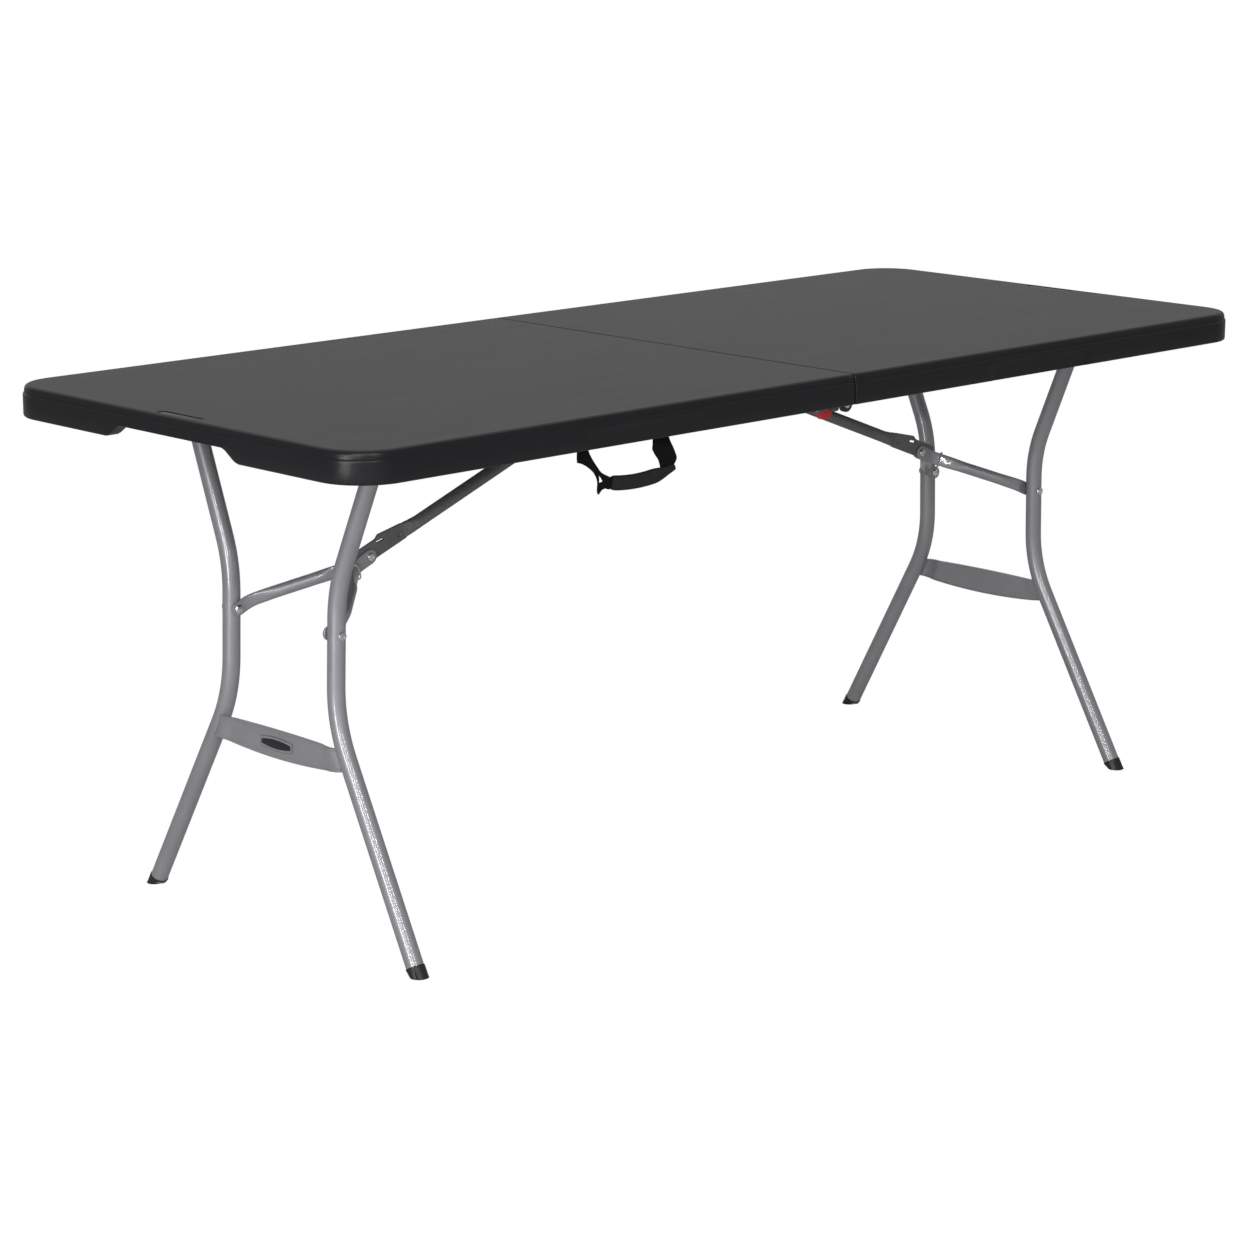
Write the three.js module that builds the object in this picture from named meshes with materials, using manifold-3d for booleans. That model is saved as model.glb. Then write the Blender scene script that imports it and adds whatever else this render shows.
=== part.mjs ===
// Folding table, 6 ft by 30 in, that folds in half across the middle.
// Millimetres, +Z up. The origin is on the floor under the middle of the table:
// X runs along the length (0 at the seam), Y across it (-Y is the front), Z up.
import * as THREE from 'three';
import { mergeVertices } from 'three/addons/utils/BufferGeometryUtils.js';
import Module from 'manifold-3d';

const wasm = await Module();
wasm.setup();

// ---- Driving dimensions -------------------------------------------------

const LENGTH = 1829;
const WIDTH = 760;
const HEIGHT = 737;
const FIT_GAP = 0.3; // clearance between touching pieces

// Moulded top
const APRON_DEPTH = 44;
const DECK_THICKNESS = 14;
const SEAM_GAP = 1.2;
const CORNER_RADIUS = 72;
const EDGE_ROUND = 6;
const SIDE_RIM = 15;
const END_RIM = 22;
const POCKET_RADIUS = 56;
const SEAM_RIB = 13;
const SEAM_RIB_HALF_WIDTH = 330;
const END_CUTOUT = { rise: 17.5, flatHalf: 110, footHalf: 142 };
const GRIP_RELIEF = { from: 298, to: 520, depth: 3.5, height: 28, lift: 1.2 };
const BRACE_CHANNEL = { from: 510, to: 664, halfWidth: 8, top: 731.5 }; // clears the folded brace
const LABEL_RECESS = { from: 888, to: 903, halfWidth: 44, depth: 1 };

// Steel side rails
const RAIL_OUTER = 357;
const RAIL_WEB = 2;
const RAIL_FLANGE = 14;
const RAIL_BOTTOM = 698;
const RAIL_FROM = 24;
const RAIL_TO = 850;

// Legs: centre-lines lie in a plane that leans towards the seam as it rises
const FOOT_X = 743.5;
const LEG_LEAN = 21.1 / 737;
const LEG_RADIUS = 12.5;
const LEG_FOOT_Y = 287.5;
const LEG_WAIST_Y = 113.5;
const LEG_TOP_Y = 203;
const LEG_LOWER_BEND_Z = 313;
const LEG_UPPER_BEND_Z = 496;
const LEG_BEND_RADIUS = 200;
const HINGE_TUBE_Z = 707;
const HINGE_TUBE_RADIUS = 11;
const HINGE_TUBE_HALF = 342.5;
const HINGE_STUB_RADIUS = 6.5;
const HINGE_STUB_HALF = 361;
const TUBE_STEPS = 16; // lengths a bent tube is divided into
const RETAINER = { radius: 10.5, thickness: 3 };
const FOOT_CAP = { radius: 13.6, height: 14, floor: 8.5 };
const CROSS_PLATE = {
  endTop: 281,
  middleTop: 283.5,
  endBottom: 252,
  middleBottom: 243,
  topHalf: 129,
  bottomHalf: 145,
};
const CROSS_PLATE_LIP = 2.2;
// Offsets from the plane of the legs, negative outwards
const CROSS_PLATE_FACES = { inner: -8.3, outer: -10.6, lip: -12.3 };
const BADGE = { halfLength: 35, endHalf: 7, crown: 6, thickness: 1.2, z: 263 };

// Folding braces
const RIVET_Z = 434.5;
const RIVET = { radius: 4, headRadius: 6.5, headThickness: 2.5 };
const KNEE_X = 578.6;
const KNEE_Z = 501.4;
const BRACE_TOP_X = 28;
const BRACE_TOP_Z = 711;
const ARM_RADIUS = 9;
const ARM_END_Y = 98.1;
const ARM_END_THICKNESS = 4.4;
const ARM_NECK_Y = 4.1;
const ARM_NECK_THICKNESS = 3;
const ARM_STRAIGHT = 25;
const ARM_NECK_START = 139.5;
const BLADE_HALF_THICKNESS = 2;
const BLADE = { tail: 30, length: 70, low: -8.5, high: 17, hump: 21, humpFrom: 19, humpEnd: 15 };
const BRACE_TUBE_RISE = 2;
const BRACE_RADIUS = 9.25;
const BRACE_EYE = { radius: 10, halfThickness: 4, length: 26 };
const KNEE_BOLT = { radius: 4, headRadius: 6, headThickness: 3 };
const LOCK_RING = { wire: 1.3, halfWidth: 5.6, halfHeight: 11.7, fromRivet: 129 };
const BRACE_EYE_CLEARANCE = 1.5;
const BRACKET = {
  from: 14.5,
  to: 54,
  halfWidth: 70,
  sheet: 2.7,
  earInner: 4.6,
  earThickness: 3,
  earHalf: 11,
};
const BRACE_PIN = { radius: 4, headRadius: 6.5, headThickness: 2.4 };

// Centre hinges, one on each long side
const LEAF_THICKNESS = 3;
const LEAF_LOBE_RADIUS = 12;
const LEAF_LENGTH = 92;
const LEAF_ARM = 28;
const LEAF_JOGGLE = 10;
const HINGE_PIN = { radius: 4, headRadius: 6.5, headThickness: 1.6 };

// Centre lock, under the front rail of the left half
const LOCK = { pivotX: -52, pivotZ: 690, pinRadius: 2.5, frontY: -354, backY: -338, sheet: 2, sideGap: 0.7 };
const LOCK_BRACKET_RIGHT = -8;
const LOCK_PIN_HEAD = 1.5;
const LEVER_PROFILE = [
  [-56, 693.5],
  [-57, 687],
  [-45, 682],
  [-36, 672.5],
  [-24, 671],
  [-18, 675],
  [-17, 681],
  [-22, 687],
  [-48, 693.5],
];
const TONGUE_PROFILE = [[-16.7, 681], [-2, 681.5], [-1.5, 685.5], [-8, 688], [-16.7, 687]];
const TONGUE_HALF_WIDTH = 4;

// Carry handle on the front of the left half
const HANDLE_Y = -360;
const WEBBING = { width: 29, thickness: 1.6 };
const HANDLE_TAB_Z = 693.6;
const HANDLE_TOP_Z = 691.7;
const HANDLE_LEFT_X = -512;
const HANDLE_RIGHT_X = -367.5;
const HANDLE_ANCHOR = { halfWidth: 13, thickness: 1.5, low: 701, high: 717 };
// X and Z of the webbing's two edges, from the rim down to the grip
const STRAP_LEFT_EDGES = [
  [-521.5, HANDLE_TOP_Z, -502.5, HANDLE_TOP_Z],
  [-520.5, 677, -494, 677],
  [-518, 672.5, -490, 672],
  [-504, 667.5, -486, 666.5],
  [-492.5, 658, -481, 659],
  [-485.5, 643, -475, 654],
  [-482, 627, -469, 651.5],
  [-470, 632.5, -463, 650],
  [-460.6, 631.2, -457.9, 647.9],
];
const STRAP_RIGHT_EDGES = [
  [-382, HANDLE_TOP_Z, -353, HANDLE_TOP_Z],
  [-381.5, 675, -345, 676],
  [-370, 658, -338, 660],
  [-366.5, 651.3, -341, 651.3],
];
const GRIP = { halfHeight: 10.2, halfThickness: 8, leftEnd: 0.9, taper: 0.55, taperFrom: 0.65 };
const GRIP_LEFT = new THREE.Vector3(-458.5, HANDLE_Y, 639.8);
const GRIP_LOW = new THREE.Vector3(-400, HANDLE_Y, 630.7);
const GRIP_RIGHT = new THREE.Vector3(-341, HANDLE_Y, 646);

// ---- Derived places -----------------------------------------------------

const END_X = LENGTH / 2;
const SIDE_Y = WIDTH / 2;
const APRON_BOTTOM = HEIGHT - APRON_DEPTH;
const DECK_UNDERSIDE = HEIGHT - DECK_THICKNESS;
const RAIL_TOP = DECK_UNDERSIDE - FIT_GAP;

const legX = (z) => -(FOOT_X - LEG_LEAN * z);
const LEG_PIVOT = new THREE.Vector3(legX(HINGE_TUBE_Z), 0, HINGE_TUBE_Z);
const RIVET_PIVOT = new THREE.Vector3(legX(RIVET_Z), 0, RIVET_Z);
const KNEE = new THREE.Vector3(-KNEE_X, 0, KNEE_Z);
const BRACE_TOP = new THREE.Vector3(-BRACE_TOP_X, 0, BRACE_TOP_Z);

// ---- Materials ----------------------------------------------------------

const finish = (color, roughness, metalness) =>
  new THREE.MeshStandardMaterial({ color, roughness, metalness });
const MATERIALS = {
  top: finish(0x38383a, 0.55, 0),
  blackSteel: finish(0x1c1c1e, 0.5, 0.4),
  silver: finish(0x96959b, 0.45, 0.5),
  zinc: finish(0xc8cccf, 0.3, 0.9),
  blackRubber: finish(0x141414, 0.8, 0),
  red: finish(0xb5222a, 0.4, 0),
  webbing: finish(0x121213, 0.9, 0),
  grip: finish(0x2c2c2f, 0.85, 0),
};

// ---- Geometry helpers ---------------------------------------------------

function solidOf(geometry) {
  const bare = geometry.clone();
  bare.deleteAttribute('normal');
  bare.deleteAttribute('uv');
  const merged = mergeVertices(bare, 1e-4);
  const vertProperties = new Float32Array(merged.attributes.position.array);
  const triVerts = new Uint32Array(merged.index.array);
  return new wasm.Manifold(new wasm.Mesh({ numProp: 3, vertProperties, triVerts }));
}

function geometryOf(solid) {
  const mesh = solid.getMesh();
  const geometry = new THREE.BufferGeometry();
  geometry.setAttribute('position', new THREE.Float32BufferAttribute(mesh.vertProperties, 3));
  geometry.setIndex(new THREE.Uint32BufferAttribute(mesh.triVerts, 1));
  geometry.computeVertexNormals();
  return geometry;
}

const join = (...geometries) => geometryOf(geometries.map(solidOf).reduce((a, b) => a.add(b)));

const cut = (geometry, ...cutters) =>
  geometryOf(cutters.map(solidOf).reduce((rest, cutter) => rest.subtract(cutter), solidOf(geometry)));

const keep = (geometry, region) => geometryOf(solidOf(geometry).intersect(solidOf(region)));

// A closed skin through rings of points, all with the same count. Both ends are capped,
// unless the rings go round a loop and the last one joins the first.
function loft(rings, isLoop = false) {
  const count = rings[0].length;
  const positions = rings.flat().flatMap((p) => [p.x, p.y, p.z]);
  const index = [];
  const spans = isLoop ? rings.length : rings.length - 1;
  for (let r = 0; r < spans; r += 1) {
    const [row, nextRow] = [r * count, ((r + 1) % rings.length) * count];
    for (let i = 0; i < count; i += 1) {
      const next = (i + 1) % count;
      index.push(row + i, row + next, nextRow + next, row + i, nextRow + next, nextRow + i);
    }
  }
  const last = (rings.length - 1) * count;
  for (let i = 1; !isLoop && i + 1 < count; i += 1) {
    index.push(0, i + 1, i);
    index.push(last, last + i, last + i + 1);
  }
  const point = (k) => new THREE.Vector3().fromArray(positions, 3 * k);
  let volume = 0;
  for (let t = 0; t < index.length; t += 3) {
    volume += point(index[t]).dot(point(index[t + 1]).cross(point(index[t + 2])));
  }
  const geometry = new THREE.BufferGeometry();
  geometry.setAttribute('position', new THREE.Float32BufferAttribute(positions, 3));
  geometry.setIndex(volume > 0 ? index : index.reverse());
  return geometry;
}

// A superellipse ring about a centre, in the plane of two unit vectors.
// Squareness 2 is an ellipse; larger values are a rounded rectangle.
function ringAt(center, across, up, halfAcross, halfUp, sides, squareness = 2) {
  const power = 2 / squareness;
  const shape = (value) => Math.sign(value) * Math.abs(value) ** power;
  return Array.from({ length: sides }, (_, i) => {
    const angle = (2 * Math.PI * (i + 0.5)) / sides;
    return center
      .clone()
      .addScaledVector(across, halfAcross * shape(Math.cos(angle)))
      .addScaledVector(up, halfUp * shape(Math.sin(angle)));
  });
}

// A polyline of 3-D points whose inner corners are rounded to a bend radius.
function bentPath(points, bendRadius) {
  const path = new THREE.CurvePath();
  let from = points[0];
  for (let i = 1; i + 1 < points.length; i += 1) {
    const corner = points[i];
    const inward = from.clone().sub(corner).normalize();
    const outward = points[i + 1].clone().sub(corner).normalize();
    const turn = Math.PI - inward.angleTo(outward);
    const reach = bendRadius * Math.tan(turn / 2);
    const start = corner.clone().addScaledVector(inward, reach);
    const end = corner.clone().addScaledVector(outward, reach);
    path.add(new THREE.LineCurve3(from, start));
    path.add(new THREE.QuadraticBezierCurve3(start, corner, end));
    from = end;
  }
  path.add(new THREE.LineCurve3(from, points[points.length - 1]));
  return path;
}

// A round bar along a path.
function bar(path, radius, steps, sides = 12) {
  const section = new THREE.Shape();
  section.absarc(0, 0, radius, 0, 2 * Math.PI);
  return new THREE.ExtrudeGeometry(section, {
    extrudePath: path,
    steps,
    curveSegments: sides / 2,
    bevelEnabled: false,
  });
}

function box(low, high) {
  const [x, y, z] = high.map((value, i) => value - low[i]);
  const geometry = new THREE.BoxGeometry(x, y, z);
  return geometry.translate(...high.map((value, i) => (value + low[i]) / 2));
}

// A cylinder along Y from yLow to yHigh, centred on (x, z).
function pinY(x, z, radius, yLow, yHigh, sides = 12) {
  const geometry = new THREE.CylinderGeometry(radius, radius, yHigh - yLow, sides);
  return geometry.translate(x, (yLow + yHigh) / 2, z);
}

// A flat outline in the X-Z plane, given thickness along Y.
function plateXZ(shape, yLow, yHigh, curveSegments = 6) {
  const depth = yHigh - yLow;
  const geometry = new THREE.ExtrudeGeometry(shape, { depth, bevelEnabled: false, curveSegments });
  return geometry.rotateX(Math.PI / 2).translate(0, yHigh, 0);
}

// A flat outline in the Y-Z plane, given thickness along X.
function plateYZ(shape, xLow, xHigh, curveSegments = 6) {
  const depth = xHigh - xLow;
  const geometry = new THREE.ExtrudeGeometry(shape, { depth, bevelEnabled: false, curveSegments });
  const turn = new THREE.Matrix4().makeBasis(
    new THREE.Vector3(0, 1, 0),
    new THREE.Vector3(0, 0, 1),
    new THREE.Vector3(1, 0, 0),
  );
  return geometry.applyMatrix4(turn).translate(xLow, 0, 0);
}

const polygon = (...points) => new THREE.Shape(points.map(([a, b]) => new THREE.Vector2(a, b)));

// ---- Moulded top --------------------------------------------------------

// Outline of one half at a height, drawn in from the long sides and from the end.
function halfOutline(sideInset, endInset, radius, z, seamX) {
  const cornerSteps = 7;
  const centreX = -(END_X - endInset - radius);
  const centreY = SIDE_Y - sideInset - radius;
  const points = [new THREE.Vector3(seamX, -(SIDE_Y - sideInset), z)];
  for (const [ySign, from] of [[-1, 0], [1, Math.PI / 2]]) {
    for (let i = 0; i <= cornerSteps; i += 1) {
      const angle = from + (Math.PI / 2) * (i / cornerSteps);
      const [x, y] = [centreX - radius * Math.sin(angle), ySign * centreY - radius * Math.cos(angle)];
      points.push(new THREE.Vector3(x, y, z));
    }
  }
  points.push(new THREE.Vector3(seamX, SIDE_Y - sideInset, z));
  return points;
}

function tabletop() {
  const seamX = -SEAM_GAP / 2;
  const levels = [[APRON_BOTTOM, 1.5], [APRON_BOTTOM + 3, 0], [HEIGHT - EDGE_ROUND, 0]];
  levels.push([HEIGHT - EDGE_ROUND * 0.3, EDGE_ROUND * 0.3], [HEIGHT, EDGE_ROUND]);
  const shell = loft(levels.map(([z, inset]) => halfOutline(inset, inset, CORNER_RADIUS - inset, z, seamX)));

  const below = APRON_BOTTOM - 5;
  const innerY = SIDE_Y - SIDE_RIM;
  const pocketEnd = -(END_X - END_RIM);
  const pocket = loft([below, DECK_UNDERSIDE].map((z) =>
    halfOutline(SIDE_RIM, END_RIM, POCKET_RADIUS, z, seamX - SEAM_RIB)));
  const { flatHalf, footHalf, rise } = END_CUTOUT;
  const cutout = polygon(
    [-footHalf, below],
    [-footHalf, APRON_BOTTOM],
    [-flatHalf, APRON_BOTTOM + rise],
    [flatHalf, APRON_BOTTOM + rise],
    [footHalf, APRON_BOTTOM],
    [footHalf, below],
  );
  const cutters = [pocket, plateYZ(cutout, -END_X - 5, pocketEnd + 1)];
  for (const side of [-1, 1]) {
    const [near, far] = [side * SEAM_RIB_HALF_WIDTH, side * innerY].sort((a, b) => a - b);
    cutters.push(box([-SEAM_RIB - SEAM_GAP, near, below], [5, far, DECK_UNDERSIDE]));
    const [pinLow, pinHigh] = [side * (innerY - 2), side * (innerY + 2)].sort((a, b) => a - b);
    cutters.push(pinY(0, APRON_BOTTOM, HINGE_PIN.headRadius + 1.5, pinLow, pinHigh));
    const { from, to, depth, height, lift } = GRIP_RELIEF;
    const faceY = side * (SIDE_Y - depth);
    const [faceLow, faceHigh] = [faceY, side * (SIDE_Y + 5)].sort((a, b) => a - b);
    cutters.push(box([-to, faceLow, below], [-from, faceHigh, APRON_BOTTOM + height]));
    const [rimLow, rimHigh] = [side * (innerY - 5), side * (SIDE_Y + 5)].sort((a, b) => a - b);
    cutters.push(box([-to, rimLow, below], [-from, rimHigh, APRON_BOTTOM + lift]));
  }
  const channel = BRACE_CHANNEL;
  cutters.push(box(
    [-channel.to, -channel.halfWidth, below],
    [-channel.from, channel.halfWidth, channel.top],
  ));
  const label = LABEL_RECESS;
  cutters.push(box(
    [-label.to, -label.halfWidth, HEIGHT - label.depth],
    [-label.from, label.halfWidth, HEIGHT + 5],
  ));
  return cut(shell, ...cutters);
}

// Channel rail under one long edge; its web has a hole for the leg hinge tube.
function rail(side) {
  const inner = RAIL_OUTER - RAIL_FLANGE;
  const channel = new THREE.Shape();
  const outline = [
    [RAIL_OUTER, RAIL_BOTTOM],
    [RAIL_OUTER, RAIL_TOP],
    [inner, RAIL_TOP],
    [inner, RAIL_TOP - RAIL_WEB],
    [RAIL_OUTER - RAIL_WEB, RAIL_TOP - RAIL_WEB],
    [RAIL_OUTER - RAIL_WEB, RAIL_BOTTOM + RAIL_WEB],
    [inner, RAIL_BOTTOM + RAIL_WEB],
    [inner, RAIL_BOTTOM],
  ];
  channel.setFromPoints(outline.map(([y, z]) => new THREE.Vector2(side * y, z)));
  const bore = HINGE_STUB_RADIUS + FIT_GAP;
  const [low, high] = [side * inner, side * (RAIL_OUTER + 5)].sort((a, b) => a - b);
  return cut(plateYZ(channel, -RAIL_TO, -RAIL_FROM), pinY(LEG_PIVOT.x, LEG_PIVOT.z, bore, low, high));
}

// Bracket under the deck with two ears that hold the top of the diagonal brace.
function braceBracket() {
  const { from, to, halfWidth, sheet, earInner, earThickness, earHalf } = BRACKET;
  const { x, z } = BRACE_TOP;
  const base = box([-to, -halfWidth, RAIL_TOP - sheet], [-from, halfWidth, RAIL_TOP]);
  const ear = new THREE.Shape();
  ear.moveTo(x - earHalf, RAIL_TOP - 1);
  ear.lineTo(x - earHalf, z);
  ear.absarc(x, z, earHalf - 1, Math.PI, 2 * Math.PI);
  ear.lineTo(x + earHalf, z);
  ear.lineTo(x + earHalf, RAIL_TOP - 1);
  const ears = [-1, 1].map((side) => {
    const low = side > 0 ? earInner : -earInner - earThickness;
    return plateXZ(ear, low, low + earThickness);
  });
  const bore = pinY(x, z, BRACE_PIN.radius + FIT_GAP, -halfWidth, halfWidth);
  const slotEnd = x + BRACE_EYE.radius + BRACE_EYE_CLEARANCE;
  const slot = box([-to - 1, -earInner, RAIL_TOP - sheet - 1], [slotEnd, earInner, RAIL_TOP + 1]);
  return cut(join(base, ...ears), bore, slot);
}

// Headed pin along Y, symmetrical about Y = 0.
function headedPin(x, z, radius, shankHalf, headRadius, headThickness) {
  const shank = pinY(x, z, radius, -shankHalf, shankHalf);
  const heads = [-1, 1].map((side) => {
    const y = side > 0 ? shankHalf : -shankHalf - headThickness;
    return pinY(x, z, headRadius, y, y + headThickness);
  });
  return join(shank, ...heads);
}

function bracePin() {
  const shankHalf = BRACKET.earInner + BRACKET.earThickness + FIT_GAP;
  return headedPin(
    BRACE_TOP.x,
    BRACE_TOP.z,
    BRACE_PIN.radius,
    shankHalf,
    BRACE_PIN.headRadius,
    BRACE_PIN.headThickness,
  );
}

// ---- Leg frame ----------------------------------------------------------

const legPoint = (y, z) => new THREE.Vector3(legX(z), y, z);

function legPath(side) {
  return bentPath([
    legPoint(side * LEG_FOOT_Y, 0),
    legPoint(side * LEG_WAIST_Y, LEG_LOWER_BEND_Z),
    legPoint(side * LEG_WAIST_Y, LEG_UPPER_BEND_Z),
    legPoint(side * LEG_TOP_Y, HINGE_TUBE_Z),
  ], LEG_BEND_RADIUS);
}

function hingeTube() {
  const { x, z } = LEG_PIVOT;
  const tube = pinY(x, z, HINGE_TUBE_RADIUS, -HINGE_TUBE_HALF, HINGE_TUBE_HALF, 16);
  const stub = pinY(x, z, HINGE_STUB_RADIUS, -HINGE_STUB_HALF, HINGE_STUB_HALF);
  return join(tube, stub);
}

function retainer(side) {
  const { x, z } = LEG_PIVOT;
  const start = side > 0 ? RAIL_OUTER + FIT_GAP : -RAIL_OUTER - FIT_GAP - RETAINER.thickness;
  const disc = pinY(x, z, RETAINER.radius, start, start + RETAINER.thickness);
  return cut(disc, pinY(x, z, HINGE_STUB_RADIUS + FIT_GAP, start - 5, start + RETAINER.thickness + 5));
}

const turnFromZ = (axis) => new THREE.Quaternion().setFromUnitVectors(new THREE.Vector3(0, 0, 1), axis);

// The leg's own axis at the floor, pointing up the tube.
function footAxis(side) {
  return legPath(side).getPoint(0.01).sub(legPath(side).getPoint(0)).normalize();
}

function legTube(side) {
  const pivotBore = pinY(LEG_PIVOT.x, LEG_PIVOT.z, HINGE_TUBE_RADIUS + FIT_GAP, -WIDTH / 2, WIDTH / 2, 16);
  const rivetBore = pinY(RIVET_PIVOT.x, RIVET_PIVOT.z, RIVET.radius + FIT_GAP, -WIDTH / 2, WIDTH / 2);
  const endTrim = new THREE.BoxGeometry(60, 60, 40);
  endTrim.translate(0, 0, FOOT_CAP.floor - 20 + FIT_GAP);
  endTrim.applyQuaternion(turnFromZ(footAxis(side)));
  endTrim.translate(...legPoint(side * LEG_FOOT_Y, 0).toArray());
  return cut(bar(legPath(side), LEG_RADIUS, TUBE_STEPS), pivotBore, rivetBore, endTrim);
}

// Moulded cap on the end of a leg, cut flat where it stands on the floor.
function footCap(side) {
  const along = turnFromZ(footAxis(side));
  const foot = legPoint(side * LEG_FOOT_Y, 0);
  const place = (radius, low, high) => {
    const geometry = new THREE.CylinderGeometry(radius, radius, high - low, 16);
    geometry.rotateX(Math.PI / 2).translate(0, 0, (low + high) / 2);
    return geometry.applyQuaternion(along).translate(foot.x, foot.y, foot.z);
  };
  const cup = cut(
    place(FOOT_CAP.radius, -15, FOOT_CAP.height),
    place(LEG_RADIUS + FIT_GAP, FOOT_CAP.floor, FOOT_CAP.height + 10),
  );
  return keep(cup, box([foot.x - 60, foot.y - 60, 0], [foot.x + 60, foot.y + 60, 80]));
}

// A flat outline in the plane of the legs, between two offsets from that plane.
function inLegPlane(shape, from, to, z) {
  const lean = Math.atan(LEG_LEAN);
  return plateYZ(shape, from, to, 6).rotateY(lean).translate(legX(z), 0, z);
}

// Pressed plate welded across the outer side of the legs, with a lip round its face.
function crossPlateOutline(inset, middle) {
  const { endTop, middleTop, endBottom, middleBottom } = CROSS_PLATE;
  const [topHalf, bottomHalf] = [CROSS_PLATE.topHalf - inset, CROSS_PLATE.bottomHalf - inset];
  const [top, bottom] = [endTop - inset - middle, endBottom + inset - middle];
  const shape = new THREE.Shape();
  shape.moveTo(-bottomHalf, bottom);
  shape.quadraticCurveTo(0, bottom + 2 * (middleBottom - endBottom), bottomHalf, bottom);
  shape.lineTo(topHalf, top);
  shape.quadraticCurveTo(0, top + 2 * (middleTop - endTop), -topHalf, top);
  return shape;
}

function crossPlate() {
  const { inner, outer, lip } = CROSS_PLATE_FACES;
  const middle = (CROSS_PLATE.middleTop + CROSS_PLATE.middleBottom) / 2;
  const blank = inLegPlane(crossPlateOutline(0, middle), lip, inner, middle);
  const face = inLegPlane(crossPlateOutline(CROSS_PLATE_LIP, middle), lip - 5, outer, middle);
  const legs = [-1, 1].map((side) => bar(legPath(side), LEG_RADIUS + FIT_GAP, TUBE_STEPS));
  return cut(blank, face, ...legs);
}

// Rivet that pins an arm of the V brace to the inside of a leg.
function rivet(side) {
  const inner = ARM_END_Y - ARM_END_THICKNESS / 2 - FIT_GAP;
  const outer = LEG_WAIST_Y + LEG_RADIUS + FIT_GAP;
  const head = RIVET.headThickness;
  const span = (radius, from, to) => {
    const [low, high] = [side * from, side * to].sort((a, b) => a - b);
    return pinY(RIVET_PIVOT.x, RIVET_PIVOT.z, radius, low, high);
  };
  return join(
    span(RIVET.radius, inner - head, outer + head),
    span(RIVET.headRadius, inner - head, inner),
    span(RIVET.headRadius, outer, outer + head),
  );
}

// Small plate on the outer face of the cross plate.
function badge() {
  const shape = new THREE.Shape();
  const { halfLength, endHalf, crown, thickness, z } = BADGE;
  shape.moveTo(-halfLength, -endHalf);
  shape.quadraticCurveTo(0, -endHalf - crown, halfLength, -endHalf);
  shape.lineTo(halfLength, endHalf);
  shape.quadraticCurveTo(0, endHalf + crown, -halfLength, endHalf);
  const face = CROSS_PLATE_FACES.outer - FIT_GAP;
  return inLegPlane(shape, face - thickness, face, z);
}

// ---- Braces -------------------------------------------------------------

// Frame of a link in the X-Z plane: distance along it, height across it, and Y.
function linkFrame(from, to) {
  const along = to.clone().sub(from).normalize();
  const up = new THREE.Vector3(-along.z, 0, along.x);
  if (up.z < 0) up.negate();
  const at = (distance, y = 0, height = 0) =>
    from.clone().addScaledVector(along, distance).addScaledVector(up, height).setY(y);
  return { along, up, at, length: from.distanceTo(to) };
}

const V_LINK = linkFrame(RIVET_PIVOT, KNEE);
const BRACE_LINK = linkFrame(KNEE, BRACE_TOP);

// One arm of the V brace: a tube pressed flat at the leg and again at the knee.
function braceArm(side) {
  const { at, up, length } = V_LINK;
  const yAxis = new THREE.Vector3(0, 1, 0);
  const flat = (distance, y, half, height, sides) =>
    ringAt(at(distance, side * y), yAxis, up, half, height, sides, 4);
  const slope = (ARM_END_Y - ARM_NECK_Y) / (ARM_NECK_START - ARM_STRAIGHT);
  const armY = (distance) => ARM_END_Y - slope * (distance - ARM_STRAIGHT);
  const sides = 10;
  const [endHalf, neckHalf] = [ARM_END_THICKNESS / 2, ARM_NECK_THICKNESS / 2];
  const rings = [
    flat(-9.5, ARM_END_Y, endHalf, 4, sides),
    flat(-7, ARM_END_Y, endHalf, 7.5, sides),
    flat(0, ARM_END_Y, endHalf, 10, sides),
    flat(10, ARM_END_Y, endHalf, 10, sides),
    ringAt(at(26, side * (armY(26) - 3.2)), yAxis, up, 6.2, 9.6, sides),
    ringAt(at(42, side * armY(42)), yAxis, up, ARM_RADIUS * 1.25, ARM_RADIUS, sides),
    ringAt(at(100, side * armY(100)), yAxis, up, ARM_RADIUS * 1.25, ARM_RADIUS, sides),
    flat(118, armY(118), 4.4, 9.8, sides),
    flat(ARM_NECK_START - 4, armY(ARM_NECK_START - 4), 2.6, 10, sides),
    flat(ARM_NECK_START + 4, ARM_NECK_Y, neckHalf, 10, sides),
    flat(length, ARM_NECK_Y, neckHalf, 10.5, sides),
    flat(length + 8, ARM_NECK_Y, neckHalf, 8, sides),
    flat(length + 10.5, ARM_NECK_Y, neckHalf, 4.5, sides),
  ];
  const rivetBore = pinY(RIVET_PIVOT.x, RIVET_PIVOT.z, RIVET.radius + FIT_GAP, -WIDTH / 2, WIDTH / 2);
  const boltBore = pinY(KNEE.x, KNEE.z, KNEE_BOLT.radius + FIT_GAP, -20, 20);
  return cut(loft(rings), rivetBore, boltBore);
}

// Half of the knee bolt: its round or six-sided head and the shank through one side of the fork.
function kneeBolt(side, headSides) {
  const plateInner = ARM_NECK_Y - ARM_NECK_THICKNESS / 2;
  const plateOuter = ARM_NECK_Y + ARM_NECK_THICKNESS / 2 + FIT_GAP;
  const span = (radius, from, to, sides) => {
    const [low, high] = [side * from, side * to].sort((a, b) => a - b);
    return pinY(KNEE.x, KNEE.z, radius, low, high, sides);
  };
  const { radius, headRadius, headThickness } = KNEE_BOLT;
  return join(
    span(radius, plateInner, plateOuter + 1, 12),
    span(headRadius, plateOuter, plateOuter + headThickness, headSides),
  );
}

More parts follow.
